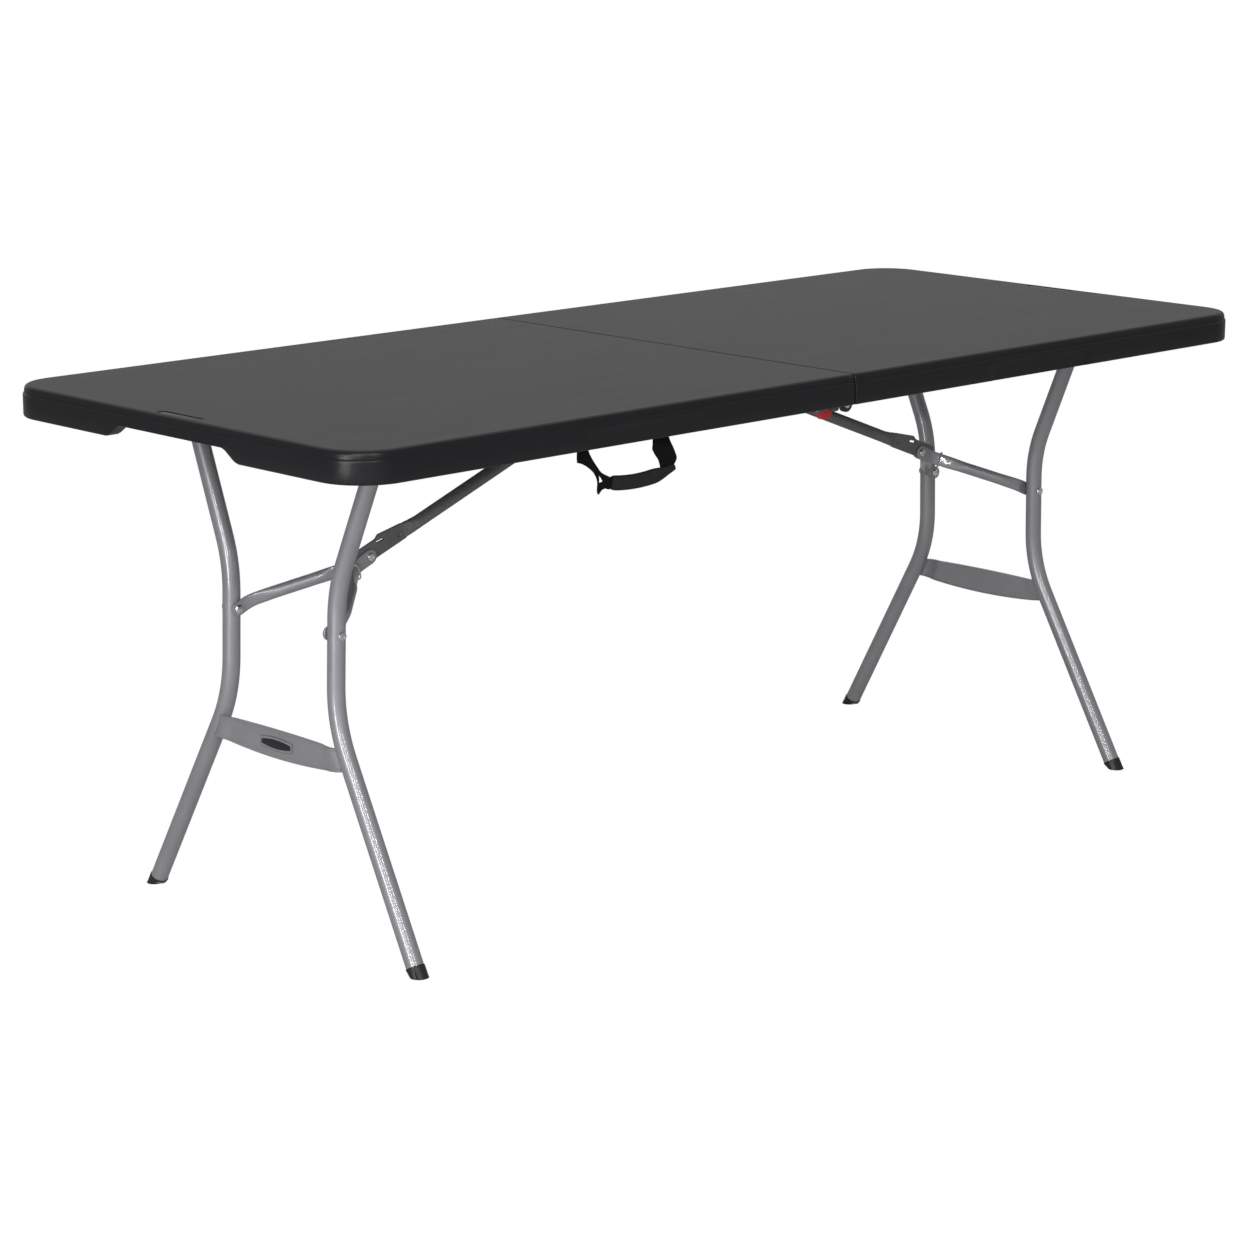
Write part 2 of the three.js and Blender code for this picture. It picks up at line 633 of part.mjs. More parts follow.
// Wire ring that slides on one arm of the V brace, next to the knee.
function lockRing(side) {
  const { at, up, along } = V_LINK;
  const { wire, halfWidth, halfHeight, fromRivet } = LOCK_RING;
  const slope = (ARM_END_Y - ARM_NECK_Y) / (ARM_NECK_START - ARM_STRAIGHT);
  const centre = at(fromRivet, side * (ARM_END_Y - slope * (fromRivet - ARM_STRAIGHT)));
  const across = new THREE.Vector3(0, 1, 0).addScaledVector(along, side * slope).normalize();
  const loop = ringAt(centre, across, up, halfWidth, halfHeight, 16, 3);
  const normal = across.clone().cross(up);
  const rings = loop.map((point, i) => {
    const ahead = loop[(i + 1) % loop.length];
    const behind = loop[(i + loop.length - 1) % loop.length];
    const outward = ahead.clone().sub(behind).cross(normal).normalize();
    return ringAt(point, outward, normal, wire, wire, 5);
  });
  return loft(rings, true);
}

// Diagonal brace: a tube with a stamped blade at the knee and an eye at the top.
function diagonalBrace() {
  const { at, up, along, length } = BRACE_LINK;
  const yAxis = new THREE.Vector3(0, 1, 0);
  const { tail, length: bladeLength, low, high, hump, humpFrom, humpEnd } = BLADE;
  const blade = new THREE.Shape();
  blade.moveTo(-tail + 5, low);
  blade.lineTo(bladeLength, low);
  blade.lineTo(bladeLength, humpEnd);
  blade.lineTo(humpFrom + 6, hump);
  blade.lineTo(humpFrom, high);
  blade.lineTo(-tail + 6, high);
  blade.quadraticCurveTo(-tail, high, -tail, high - 7);
  blade.lineTo(-tail, low + 6);
  blade.quadraticCurveTo(-tail, low, -tail + 5, low);
  const flat = new THREE.ExtrudeGeometry(blade, {
    depth: 2 * BLADE_HALF_THICKNESS,
    bevelEnabled: false,
    curveSegments: 5,
  });
  flat.translate(0, 0, -BLADE_HALF_THICKNESS);
  flat.applyMatrix4(new THREE.Matrix4().makeBasis(along, up, along.clone().cross(up)));
  flat.translate(KNEE.x, KNEE.y, KNEE.z);
  const { radius, halfThickness, length: eyeLength } = BRACE_EYE;
  const ring = (distance, rise, half, height, squareness) =>
    ringAt(at(distance, 0, rise), yAxis, up, half, height, 12, squareness);
  const bladeMiddle = (low + humpEnd) / 2;
  const bladeHeight = (humpEnd - low) / 2;
  const tube = loft([
    ring(bladeLength - 3, bladeMiddle, BLADE_HALF_THICKNESS, bladeHeight - 0.3, 5),
    ring(bladeLength + 4, bladeMiddle, BLADE_HALF_THICKNESS + 1.5, bladeHeight - 0.5, 4),
    ring(bladeLength + 38, BRACE_TUBE_RISE, BRACE_RADIUS, BRACE_RADIUS, 2),
    ring(length - eyeLength - 14, BRACE_TUBE_RISE, BRACE_RADIUS, BRACE_RADIUS, 2),
    ring(length - eyeLength, 0, halfThickness, radius, 4),
    ring(length, 0, halfThickness, radius, 4),
    ring(length + 7, 0, halfThickness, 7, 4),
    ring(length + radius, 0, halfThickness, 2.5, 4),
  ]);
  const bore = pinY(BRACE_TOP.x, BRACE_TOP.z, BRACE_PIN.radius + FIT_GAP, -20, 20);
  return cut(join(flat, tube), bore);
}

// ---- Centre hinges ------------------------------------------------------

// A leaf bolted to the rail of one half, with a round lobe on the fold axis.
// The left leaf is joggled outwards so that its lobe passes outside the right one.
function hingeLeaf(side, half) {
  const low = RAIL_BOTTOM + 1;
  const high = RAIL_TOP - 1;
  const inner = RAIL_OUTER + FIT_GAP;
  const outer = inner + LEAF_THICKNESS + FIT_GAP;
  const lobeInner = half < 0 ? outer : inner;
  const plate = (shape, from, to) => {
    const [yLow, yHigh] = [side * from, side * to].sort((a, b) => a - b);
    return plateXZ(shape, yLow, yHigh, 8);
  };
  const rectangle = (from, to) => polygon(
    [half * to, low],
    [half * from, low],
    [half * from, high],
    [half * to, high],
  );
  const lobe = new THREE.Shape();
  lobe.absarc(0, APRON_BOTTOM, LEAF_LOBE_RADIUS, 0, 2 * Math.PI);
  const arm = polygon(
    [half * LEAF_ARM, low],
    [half * 4, APRON_BOTTOM - LEAF_LOBE_RADIUS + 1.2],
    [-half * 1, APRON_BOTTOM + LEAF_LOBE_RADIUS - 0.5],
    [half * LEAF_ARM, high],
  );
  const leaf = join(
    plate(rectangle(LEAF_ARM - 2, LEAF_LENGTH), inner, inner + LEAF_THICKNESS),
    plate(rectangle(LEAF_ARM - 2, LEAF_ARM + LEAF_JOGGLE), inner, lobeInner + LEAF_THICKNESS),
    plate(lobe, lobeInner, lobeInner + LEAF_THICKNESS),
    plate(arm, lobeInner, lobeInner + LEAF_THICKNESS),
  );
  return cut(leaf, pinY(0, APRON_BOTTOM, HINGE_PIN.radius + FIT_GAP, -WIDTH, WIDTH));
}

function hingePin(side) {
  const inner = RAIL_OUTER;
  const outer = RAIL_OUTER + 2 * (FIT_GAP + LEAF_THICKNESS) + FIT_GAP;
  const { radius, headRadius, headThickness } = HINGE_PIN;
  const span = (r, from, to) => {
    const [low, high] = [side * from, side * to].sort((a, b) => a - b);
    return pinY(0, APRON_BOTTOM, r, low, high);
  };
  return join(
    span(radius, inner - headThickness, outer + 0.5),
    span(headRadius, inner - headThickness, inner),
    span(headRadius, outer, outer + headThickness),
  );
}

// ---- Centre lock --------------------------------------------------------

function lockBracket() {
  const { pivotX, pivotZ, pinRadius, frontY, backY, sheet } = LOCK;
  const top = RAIL_BOTTOM - FIT_GAP;
  const [left, right] = [pivotX - 10, LOCK_BRACKET_RIGHT];
  const ear = polygon(
    [left, top],
    [left, pivotZ - 4],
    [pivotX + 8, pivotZ - 7],
    [right, top - 4],
    [right, top],
  );
  const plate = box([left, frontY, top - sheet], [right, backY, top]);
  const ears = [frontY, backY - sheet].map((y) => plateXZ(ear, y, y + sheet));
  return cut(join(plate, ...ears), pinY(pivotX, pivotZ, pinRadius + FIT_GAP, frontY - 5, backY + 5));
}

function lockPin() {
  const { pivotX, pivotZ, pinRadius, frontY, backY } = LOCK;
  const head = LOCK_PIN_HEAD;
  return join(
    pinY(pivotX, pivotZ, pinRadius, frontY - head, backY + head),
    pinY(pivotX, pivotZ, pinRadius + head, frontY - head, frontY - FIT_GAP),
    pinY(pivotX, pivotZ, pinRadius + head, backY + FIT_GAP, backY + head),
  );
}

// Release lever: a hub on the pin and a thumb tab that hangs below the rail.
function lockLever() {
  const { pivotX, pivotZ, pinRadius, frontY, backY, sheet, sideGap } = LOCK;
  const [front, back] = [frontY + sheet + sideGap, backY - sheet - sideGap];
  const bore = pinY(pivotX, pivotZ, pinRadius + FIT_GAP, front - 5, back + 5);
  return cut(plateXZ(polygon(...LEVER_PROFILE), front, back), bore);
}

// Steel tongue that the lever carries towards the centre hinge.
function lockTongue() {
  const middle = (LOCK.frontY + LOCK.backY) / 2;
  return plateXZ(polygon(...TONGUE_PROFILE), middle - TONGUE_HALF_WIDTH, middle + TONGUE_HALF_WIDTH);
}

// ---- Carry handle -------------------------------------------------------

// Cross-section of the webbing between two edge points in the X-Z plane.
function webbingSection([x0, z0, x1, z1]) {
  const near = new THREE.Vector3(x0, HANDLE_Y, z0);
  const far = new THREE.Vector3(x1, HANDLE_Y, z1);
  const across = far.clone().sub(near).normalize();
  const yAxis = new THREE.Vector3(0, 1, 0);
  const middle = near.clone().lerp(far, 0.5);
  return ringAt(middle, across, yAxis, near.distanceTo(far) / 2, WEBBING.thickness / 2, 8, 6);
}

// End of the webbing, clamped to the rail and hidden behind the rim.
function handleTab(x) {
  const half = WEBBING.width / 2;
  return loft([HANDLE_TAB_Z, RAIL_TOP - 3].map((z) => webbingSection([x - half, z, x + half, z])));
}

// Metal plate that clamps the end of the webbing.
function handleAnchor(x) {
  const y = HANDLE_Y - WEBBING.thickness / 2 - FIT_GAP;
  const { halfWidth, thickness, low, high } = HANDLE_ANCHOR;
  return box([x - halfWidth, y - thickness, low], [x + halfWidth, y, high]);
}

// Padded sleeve round the webbing, sagging between the two sides and thinner at its right end.
function handleGrip() {
  const path = new THREE.QuadraticBezierCurve3(GRIP_LEFT, GRIP_LOW, GRIP_RIGHT);
  const yAxis = new THREE.Vector3(0, 1, 0);
  const { halfHeight, halfThickness, leftEnd, taper, taperFrom } = GRIP;
  const steps = 10;
  const rings = Array.from({ length: steps + 1 }, (_, i) => {
    const t = i / steps;
    const up = yAxis.clone().cross(path.getTangent(t));
    const size = (i === 0 ? leftEnd : 1) * (1 - taper * THREE.MathUtils.smoothstep(t, taperFrom, 1));
    return ringAt(path.getPoint(t), yAxis, up, halfThickness * size, halfHeight * size, 10, 2.6);
  });
  return loft(rings);
}

// ---- Assembly -----------------------------------------------------------

const table = new THREE.Group();

function addPart(parent, name, geometry, material) {
  const mesh = new THREE.Mesh(geometry, material);
  mesh.name = name;
  parent.add(mesh);
}

// Everything that both halves share. It is drawn for the left half; the right half is
// the same set of pieces turned half a turn about the vertical, which swaps front and rear.
function addHalf(half) {
  const group = new THREE.Group();
  group.rotation.z = half === 'left' ? 0 : Math.PI;
  const frontSide = half === 'left' ? -1 : 1;
  const { top, silver, zinc, blackSteel, blackRubber } = MATERIALS;

  addPart(group, `${half}_tabletop`, tabletop(), top);
  addPart(group, `${half}_brace_bracket`, braceBracket(), silver);
  addPart(group, `${half}_brace_pin`, bracePin(), zinc);
  addPart(group, `${half}_leg_hinge_tube`, hingeTube(), silver);
  addPart(group, `${half}_leg_cross_plate`, crossPlate(), silver);
  addPart(group, `${half}_diagonal_brace`, diagonalBrace(), silver);
  addPart(group, `${half}_knee_bolt`, kneeBolt(frontSide, 12), zinc);
  addPart(group, `${half}_knee_nut`, kneeBolt(-frontSide, 6), zinc);
  addPart(group, `${half}_lock_ring`, lockRing(frontSide), zinc);
  for (const side of [-1, 1]) {
    const end = side === frontSide ? 'front' : 'rear';
    addPart(group, `${half}_${end}_rail`, rail(side), blackSteel);
    addPart(group, `${half}_${end}_leg_retainer`, retainer(side), zinc);
    addPart(group, `${half}_${end}_leg`, legTube(side), silver);
    addPart(group, `${half}_${end}_foot`, footCap(side), blackRubber);
    addPart(group, `${half}_${end}_brace_rivet`, rivet(side), zinc);
    addPart(group, `${half}_${end}_brace_arm`, braceArm(side), silver);
  }
  table.add(group);
}

addHalf('left');
addHalf('right');

for (const [side, end] of [[-1, 'front'], [1, 'rear']]) {
  addPart(table, `${end}_hinge_left_leaf`, hingeLeaf(side, -1), MATERIALS.blackSteel);
  addPart(table, `${end}_hinge_right_leaf`, hingeLeaf(side, 1), MATERIALS.blackSteel);
  addPart(table, `${end}_hinge_pin`, hingePin(side), MATERIALS.zinc);
}

addPart(table, 'cross_plate_badge', badge(), MATERIALS.blackSteel);
addPart(table, 'lock_bracket', lockBracket(), MATERIALS.silver);
addPart(table, 'lock_pin', lockPin(), MATERIALS.zinc);
addPart(table, 'lock_lever', lockLever(), MATERIALS.red);
addPart(table, 'lock_tongue', lockTongue(), MATERIALS.silver);

for (const [end, x] of [['left', HANDLE_LEFT_X], ['right', HANDLE_RIGHT_X]]) {
  addPart(table, `handle_${end}_tab`, handleTab(x), MATERIALS.webbing);
  addPart(table, `handle_${end}_anchor`, handleAnchor(x), MATERIALS.blackSteel);
}
addPart(table, 'handle_left_strap', loft(STRAP_LEFT_EDGES.map(webbingSection)), MATERIALS.webbing);
addPart(table, 'handle_right_strap', loft(STRAP_RIGHT_EDGES.map(webbingSection)), MATERIALS.webbing);
addPart(table, 'handle_grip', handleGrip(), MATERIALS.grip);

export default table;
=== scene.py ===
# Folding table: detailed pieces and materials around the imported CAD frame.
# The table's lengths are in millimetres and its meshes are scaled to metres. The camera, the floor, the
# lights and every name that ends in _M are in metres.
import math

import bmesh
import bpy
from mathutils import Matrix, Vector
from mathutils.geometry import tessellate_polygon


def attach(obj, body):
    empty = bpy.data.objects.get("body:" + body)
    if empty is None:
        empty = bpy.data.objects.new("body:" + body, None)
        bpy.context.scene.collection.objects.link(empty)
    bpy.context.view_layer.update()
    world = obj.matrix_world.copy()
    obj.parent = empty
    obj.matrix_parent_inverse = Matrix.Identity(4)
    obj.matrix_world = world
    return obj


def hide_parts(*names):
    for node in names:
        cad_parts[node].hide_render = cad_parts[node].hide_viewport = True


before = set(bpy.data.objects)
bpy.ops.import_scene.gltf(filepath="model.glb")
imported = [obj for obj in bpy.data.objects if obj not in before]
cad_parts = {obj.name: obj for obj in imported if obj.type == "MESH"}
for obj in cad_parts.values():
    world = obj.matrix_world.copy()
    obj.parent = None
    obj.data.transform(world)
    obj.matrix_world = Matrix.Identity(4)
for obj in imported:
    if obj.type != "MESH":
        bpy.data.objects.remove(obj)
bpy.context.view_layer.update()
MM = 0.001

# ---- Dimensions shared with the CAD part ----
END_X = 914.5
SIDE_Y = 380.0
TOP_Z = 737.0
APRON_Z = 693.0
PANEL_Z = 723.0
SEAM_X = 0.6
CORNER_R = 72.0
SIDE_RIM = 15.0
END_RIM = 22.0
POCKET_R = 56.0
SEAM_RIB = 13.0
OUTSIDE_RAIL_Y = 357.3
FOOT_X = 743.5
LEG_LEAN = 21.1 / 737
LEG_R = 12.5
LEG_FOOT_Y = 287.5
LEG_WAIST_Y = 113.5
LEG_TOP_Y = 203.0
LEG_BENDS_Z = (313.0, 496.0)
LEG_BEND_R = 200.0
HINGE_Z = 707.0
HINGE_TUBE_R = 11.0
HINGE_TUBE_HALF = 342.5
HINGE_STUB_R = 6.5
HINGE_STUB = 18.5  # how far the stub stands out of the hinge tube
FOOT_CAP_FLOOR = 8.5
FOOT_CAP_HEIGHT = 14.0
RIVET_Z = 434.5
PIN_R = 4.0
PIN_HEAD_R = 6.5
BLADE_HALF = 2.0  # half its thickness
ARM_END_Y = 98.1
ARM_NECK_Y = 4.1
ARM_STRAIGHT = 25.0
ARM_NECK_START = 139.5
BRACE_R = 9.25


def leg_x(z):
    return -(FOOT_X - LEG_LEAN * z)


RIVET = Vector((leg_x(RIVET_Z), 0, RIVET_Z))
KNEE = Vector((-578.6, 0, 501.4))
BRACE_TOP = Vector((-28.0, 0, 711.0))
X_AXIS = Vector((1, 0, 0))
Y_AXIS = Vector((0, 1, 0))
HALF_TURN = Matrix.Rotation(math.pi, 4, "Z")


def smooth(value, low, high):
    t = min(1.0, max(0.0, (value - low) / (high - low)))
    return t * t * (3 - 2 * t)


def mix(a, b, t):
    return a + (b - a) * t


def quadratic(a, b, c, t):
    return a * (1 - t) ** 2 + b * 2 * t * (1 - t) + c * t * t


# ---- Materials ----
def material(name, color, roughness, metallic=0.0, **sockets):
    made = bpy.data.materials.new(name)
    made.use_nodes = True
    shader = made.node_tree.nodes["Principled BSDF"]
    shader.inputs["Base Color"].default_value = (*color, 1)
    shader.inputs["Roughness"].default_value = roughness
    shader.inputs["Metallic"].default_value = metallic
    for key, value in sockets.items():
        shader.inputs[key.replace("_", " ")].default_value = value
    return made


class Nodes:
    """Short ways to add nodes to one material."""

    def __init__(self, made):
        self.tree = made.node_tree
        self.shader = self.tree.nodes["Principled BSDF"]
        self.coords = self.tree.nodes.new("ShaderNodeTexCoord").outputs["Object"]

    def scaled(self, x, y, z):
        node = self.tree.nodes.new("ShaderNodeMapping")
        node.inputs["Scale"].default_value = (x, y, z)
        self.tree.links.new(self.coords, node.inputs["Vector"])
        return node.outputs["Vector"]

    def noise(self, vector, scale, detail=3.0, roughness=0.5):
        node = self.tree.nodes.new("ShaderNodeTexNoise")
        node.inputs["Scale"].default_value = scale
        node.inputs["Detail"].default_value = detail
        node.inputs["Roughness"].default_value = roughness
        self.tree.links.new(vector, node.inputs["Vector"])
        return node.outputs["Fac"]

    def cells(self, vector, scale):
        node = self.tree.nodes.new("ShaderNodeTexVoronoi")
        node.inputs["Scale"].default_value = scale
        self.tree.links.new(vector, node.inputs["Vector"])
        return node.outputs["Distance"]

    def ranged(self, value, low, high, out_low, out_high):
        node = self.tree.nodes.new("ShaderNodeMapRange")
        for key, number in zip(("From Min", "From Max", "To Min", "To Max"), (low, high, out_low, out_high)):
            node.inputs[key].default_value = number
        self.tree.links.new(value, node.inputs["Value"])
        return node.outputs["Result"]

    def ramp(self, value, stops):
        node = self.tree.nodes.new("ShaderNodeValToRGB")
        elements = node.color_ramp.elements
        while len(elements) < len(stops):
            elements.new(0.5)
        for element, (place, color) in zip(elements, stops):
            element.position = place
            element.color = (*color, 1)
        self.tree.links.new(value, node.inputs["Fac"])
        return node.outputs["Color"]

    def math(self, operation, a, b):
        node = self.tree.nodes.new("ShaderNodeMath")
        node.operation = operation
        for socket, value in zip(node.inputs, (a, b)):
            if isinstance(value, float):
                socket.default_value = value
            else:
                self.tree.links.new(value, socket)
        return node.outputs["Value"]

    def into(self, value, socket):
        self.tree.links.new(value, self.shader.inputs[socket])

    def bump(self, height, strength, distance_m):
        node = self.tree.nodes.new("ShaderNodeBump")
        node.inputs["Strength"].default_value = strength
        node.inputs["Distance"].default_value = distance_m
        self.tree.links.new(height, node.inputs["Height"])
        self.into(node.outputs["Normal"], "Normal")


def top_plastic(name, low, high, roughness, specular):
    """Moulded polyethylene with a fine haircell skin and faint streaks along the length."""
    made = material(name, high, roughness, Specular_IOR_Level=specular)
    nodes = Nodes(made)
    streak = nodes.noise(nodes.scaled(6, 90, 90), 1.0, 5.0)
    patch = nodes.noise(nodes.coords, 3.0, 2.0)
    shade = nodes.math("ADD", nodes.math("MULTIPLY", streak, 0.6), nodes.math("MULTIPLY", patch, 0.4))
    nodes.into(nodes.ramp(shade, [(0.3, low), (0.7, high)]), "Base Color")
    grain = nodes.noise(nodes.scaled(350, 800, 800), 1.0, 5.0, 0.6)
    cell = nodes.cells(nodes.scaled(420, 900, 900), 1.0)
    nodes.bump(nodes.math("ADD", grain, nodes.math("MULTIPLY", cell, 0.5)), 0.35, 0.0004)
    nodes.into(nodes.ranged(streak, 0.3, 0.7, roughness - 0.015, roughness + 0.015), "Roughness")
    return made


def coat(name, color, roughness, metallic, spread=0.12, **sockets):
    """Powder coat: a slight orange-peel skin and small changes of shade."""
    made = material(name, color, roughness, metallic, Specular_IOR_Level=0.5, **sockets)
    nodes = Nodes(made)
    cloud = nodes.noise(nodes.coords, 14.0, 3.0)
    dark = tuple(c * (1 - spread) for c in color)
    light = tuple(c * (1 + spread) for c in color)
    nodes.into(nodes.ramp(cloud, [(0.3, dark), (0.7, light)]), "Base Color")
    nodes.into(nodes.ranged(cloud, 0.3, 0.7, roughness - 0.04, roughness + 0.05), "Roughness")
    nodes.bump(nodes.noise(nodes.coords, 220.0, 2.0), 0.02, 0.0003)
    return made


def zinc(name, color, roughness):
    made = material(name, color, roughness, 1.0)
    nodes = Nodes(made)
    wear = nodes.noise(nodes.coords, 120.0, 4.0)
    dark = tuple(c * 0.7 for c in color)
    nodes.into(nodes.ramp(wear, [(0.35, dark), (0.65, color)]), "Base Color")
    nodes.into(nodes.ranged(wear, 0.3, 0.7, roughness - 0.08, roughness + 0.12), "Roughness")
    nodes.bump(nodes.noise(nodes.coords, 700.0, 3.0), 0.15, 0.0002)
    return made


def woven(name, dark, light, pitch_mm, specular):
    """Plain weave: two crossed waves over the cloth's own plane."""
    made = material(name, light, 0.85, Specular_IOR_Level=specular)
    nodes = Nodes(made)
    split = nodes.tree.nodes.new("ShaderNodeSeparateXYZ")
    nodes.tree.links.new(nodes.coords, split.inputs[0])
    turns = 2 * math.pi / (pitch_mm * MM)
    along = nodes.math("SINE", nodes.math("MULTIPLY", split.outputs["X"], turns), 0.0)
    across = nodes.math("SINE", nodes.math("MULTIPLY", split.outputs["Z"], turns * 0.6), 0.0)
    weave = nodes.math("MULTIPLY", along, across)
    fuzz = nodes.noise(nodes.coords, 1500.0, 2.0)
    height = nodes.math("ADD", weave, nodes.math("MULTIPLY", fuzz, 0.8))
    # The colour follows the weave's height: painted shade in the hollows between the threads.
    shade = nodes.ranged(height, -1.0, 1.8, 0.0, 1.0)
    nodes.into(nodes.ramp(shade, [(0.1, dark), (0.9, light)]), "Base Color")
    nodes.bump(height, 0.5, 0.0005)
    return made


# One plastic in two copies: the top's, and a darker one that paints shade on the apron, the underside and the
# sunk label.
M_TOP = top_plastic("top_plastic", (0.0215, 0.0215, 0.021), (0.0235, 0.0235, 0.023), 0.5, 0.5)
M_PLASTIC_PAINTED_SHADE = top_plastic("plastic_painted_shade", (0.0065, 0.0065, 0.0078), (0.009, 0.009, 0.0107), 0.3, 0.28)
M_SILVER = coat("silver_powder_coat", (0.255, 0.255, 0.273), 0.4, 0.35, 0.06,
                Coat_Weight=0.9, Coat_Roughness=0.09)
# A darker copy of the silver coat: painted shade on the diagonals and on the lock under the deck.
M_SILVER_PAINTED_SHADE = coat("silver_coat_painted_shade", (0.13, 0.13, 0.135), 0.42, 0.35)
M_BLACK = coat("black_powder_coat", (0.012, 0.012, 0.013), 0.4, 0.0)
M_ZINC = zinc("zinc_plate", (0.85, 0.86, 0.87), 0.3)
M_WELD = coat("weld_bead", (0.2, 0.2, 0.21), 0.5, 0.4, 0.3)
M_FOOT = coat("foot_cap", (0.009, 0.009, 0.0095), 0.42, 0.0, 0.3)
M_RED = coat("lever_plastic", (0.42, 0.016, 0.02), 0.38, 0.0)
M_BADGE = coat("badge_field", (0.008, 0.008, 0.009), 0.3, 0.0)
M_WEBBING = woven("webbing_weave", (0.001, 0.001, 0.001), (0.005, 0.005, 0.0052), 1.6, 0.15)
M_GRIP = woven("grip_weave", (0.007, 0.007, 0.0075), (0.02, 0.02, 0.021), 1.1, 0.3)


# ---- Mesh helpers ----
AXIS_R = 0.01  # a turned profile starts and ends this near its axis
MITRE_LIMIT = 0.35  # keeps an inset corner from running away where the outline turns sharply
MERGE_M = 1e-7


class Shape:
    """Points in millimetres and faces, gathered into one mesh. What adds to it gives it back."""

    def __init__(self):
        self.points, self.faces, self.slots = [], [], []

    def add(self, points, faces, slot=0):
        base = len(self.points)
        self.points.extend(Vector(p) for p in points)
        self.faces.extend([base + i for i in face] for face in faces)
        self.slots.extend([slot] * len(faces))
        return self

    def loft(self, rings, slot=0, loop=False, caps=True):
        count = len(rings[0])
        faces = []
        spans = len(rings) if loop else len(rings) - 1
        for r in range(spans):
            a, b = r * count, ((r + 1) % len(rings)) * count
            faces += [[a + i, a + (i + 1) % count, b + (i + 1) % count, b + i] for i in range(count)]
        if caps and not loop:
            faces.append(list(range(count))[::-1])
            faces.append([(len(rings) - 1) * count + i for i in range(count)])
        return self.add([p for ring in rings for p in ring], faces, slot)

    def lathe(self, origin, axis, profile, sides):
        """Turns (radius, distance along the axis) points about the axis; both ends are closed."""
        axis = Vector(axis).normalized()
        across = axis.orthogonal().normalized()
        other = axis.cross(across)
        angles = [2 * math.pi * i / sides for i in range(sides)]
        rings = []
        for radius, along in profile:
            centre = Vector(origin) + axis * along
            rings.append([centre + (across * math.cos(a) + other * math.sin(a)) * radius for a in angles])
        return self.loft(rings)

    def plate(self, outlines, low, high, bevel, place):
        """A flat plate with bevelled edges. The first outline runs anticlockwise and holes run clockwise."""
        def inset(loop, by):
            out = []
            for i, p in enumerate(loop):
                before, after = loop[i - 1], loop[(i + 1) % len(loop)]
                d1, d2 = (p - before).normalized(), (after - p).normalized()
                n1, n2 = Vector((-d1.y, d1.x)), Vector((-d2.y, d2.x))
                n = (n1 + n2).normalized()
                out.append(p + n * by / max(MITRE_LIMIT, n.dot(n1)))
            return out

        levels = [(bevel, low), (0, low + bevel), (0, high - bevel), (bevel, high)]
        last = len(levels) - 1
        loops = [[Vector(p) for p in o] for o in outlines]
        points, faces = [], []
        bottom, top = [], []
        for loop in loops:
            count, base = len(loop), len(points)
            for by, level in levels:
                points += [place(q, level) for q in inset(loop, by)]
            for r in range(last):
                a, b = base + r * count, base + (r + 1) * count
                faces += [[a + i, a + (i + 1) % count, b + (i + 1) % count, b + i] for i in range(count)]
            bottom += [base + i for i in range(count)]
            top += [base + last * count + i for i in range(count)]
        triangles = tessellate_polygon([[Vector((*q, 0)) for q in inset(loop, bevel)] for loop in loops])
        for index in (bottom, top):
            faces += [[index[i] for i in triangle] for triangle in triangles]
        return self.add(points, faces)

    def make(self, name, materials, body, node, slot, turned=False, sharp_deg=35, flat_top=None):
        """Makes the piece that stands for a node. Faces wholly above the height flat_top are shaded flat."""
        mesh = bpy.data.meshes.new(name)
        matrix = HALF_TURN if turned else Matrix.Identity(4)
        mesh.from_pydata([matrix @ p * MM for p in self.points], [], self.faces)
        for polygon, index in zip(mesh.polygons, self.slots):
            polygon.material_index = index
        for made in materials:
            mesh.materials.append(made)
        work = bmesh.new()
        work.from_mesh(mesh)
        bmesh.ops.remove_doubles(work, verts=work.verts, dist=MERGE_M)
        bmesh.ops.recalc_face_normals(work, faces=work.faces)
        work.to_mesh(mesh)
        work.free()
        mesh.shade_smooth()
        if flat_top is not None:
            for polygon in mesh.polygons:
                if all(mesh.vertices[v].co.z > flat_top * MM for v in polygon.vertices):
                    polygon.use_smooth = False
        piece = bpy.data.objects.new(name, mesh)
        bpy.context.scene.collection.objects.link(piece)
        mesh.set_sharp_from_angle(angle=math.radians(sharp_deg))
        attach(piece, body)
        if node:
            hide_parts(node)
        return piece


def ring_at(center, across, up, half_across, half_up, sides, squareness=2.0):
    power = 2 / squareness
    ring = []
    for i in range(sides):
        a = 2 * math.pi * (i + 0.5) / sides
        c, s = math.cos(a), math.sin(a)
        u = math.copysign(abs(c) ** power, c) * half_across
        v = math.copysign(abs(s) ** power, s) * half_up
        ring.append(center + across * u + up * v)
    return ring


def bent_path(points, bend, steps=14):
    """Straight runs joined by rounded corners, as in the CAD part."""
    path = [points[0]]
    for i in range(1, len(points) - 1):
        corner = points[i]
        inward = (points[i - 1] - corner).normalized()
        outward = (points[i + 1] - corner).normalized()
        reach = bend * math.tan((math.pi - inward.angle(outward)) / 2)
        start, end = corner + inward * reach, corner + outward * reach
        path += [quadratic(start, corner, end, k / steps) for k in range(steps + 1)]
    path.append(points[-1])
    return path


def tube_rings(path, radius, sides):
    rings = []
    for i, p in enumerate(path):
        along = (path[min(i + 1, len(path) - 1)] - path[max(i - 1, 0)]).normalized()
        across = (X_AXIS - along * X_AXIS.dot(along)).normalized()
        rings.append(ring_at(p, across, along.cross(across), radius, radius, sides))
    return rings


def refine(stations, steps):
    """Closer rows of numbers: the first number runs evenly and the others ease from row to row."""
    out = []
    for row, following in zip(stations, stations[1:]):
        for k in range(steps):
            t = k / steps
            eased = smooth(t, 0, 1)
            out.append([mix(a, b, eased if n else t) for n, (a, b) in enumerate(zip(row, following))])
    out.append(list(stations[-1]))
    return out


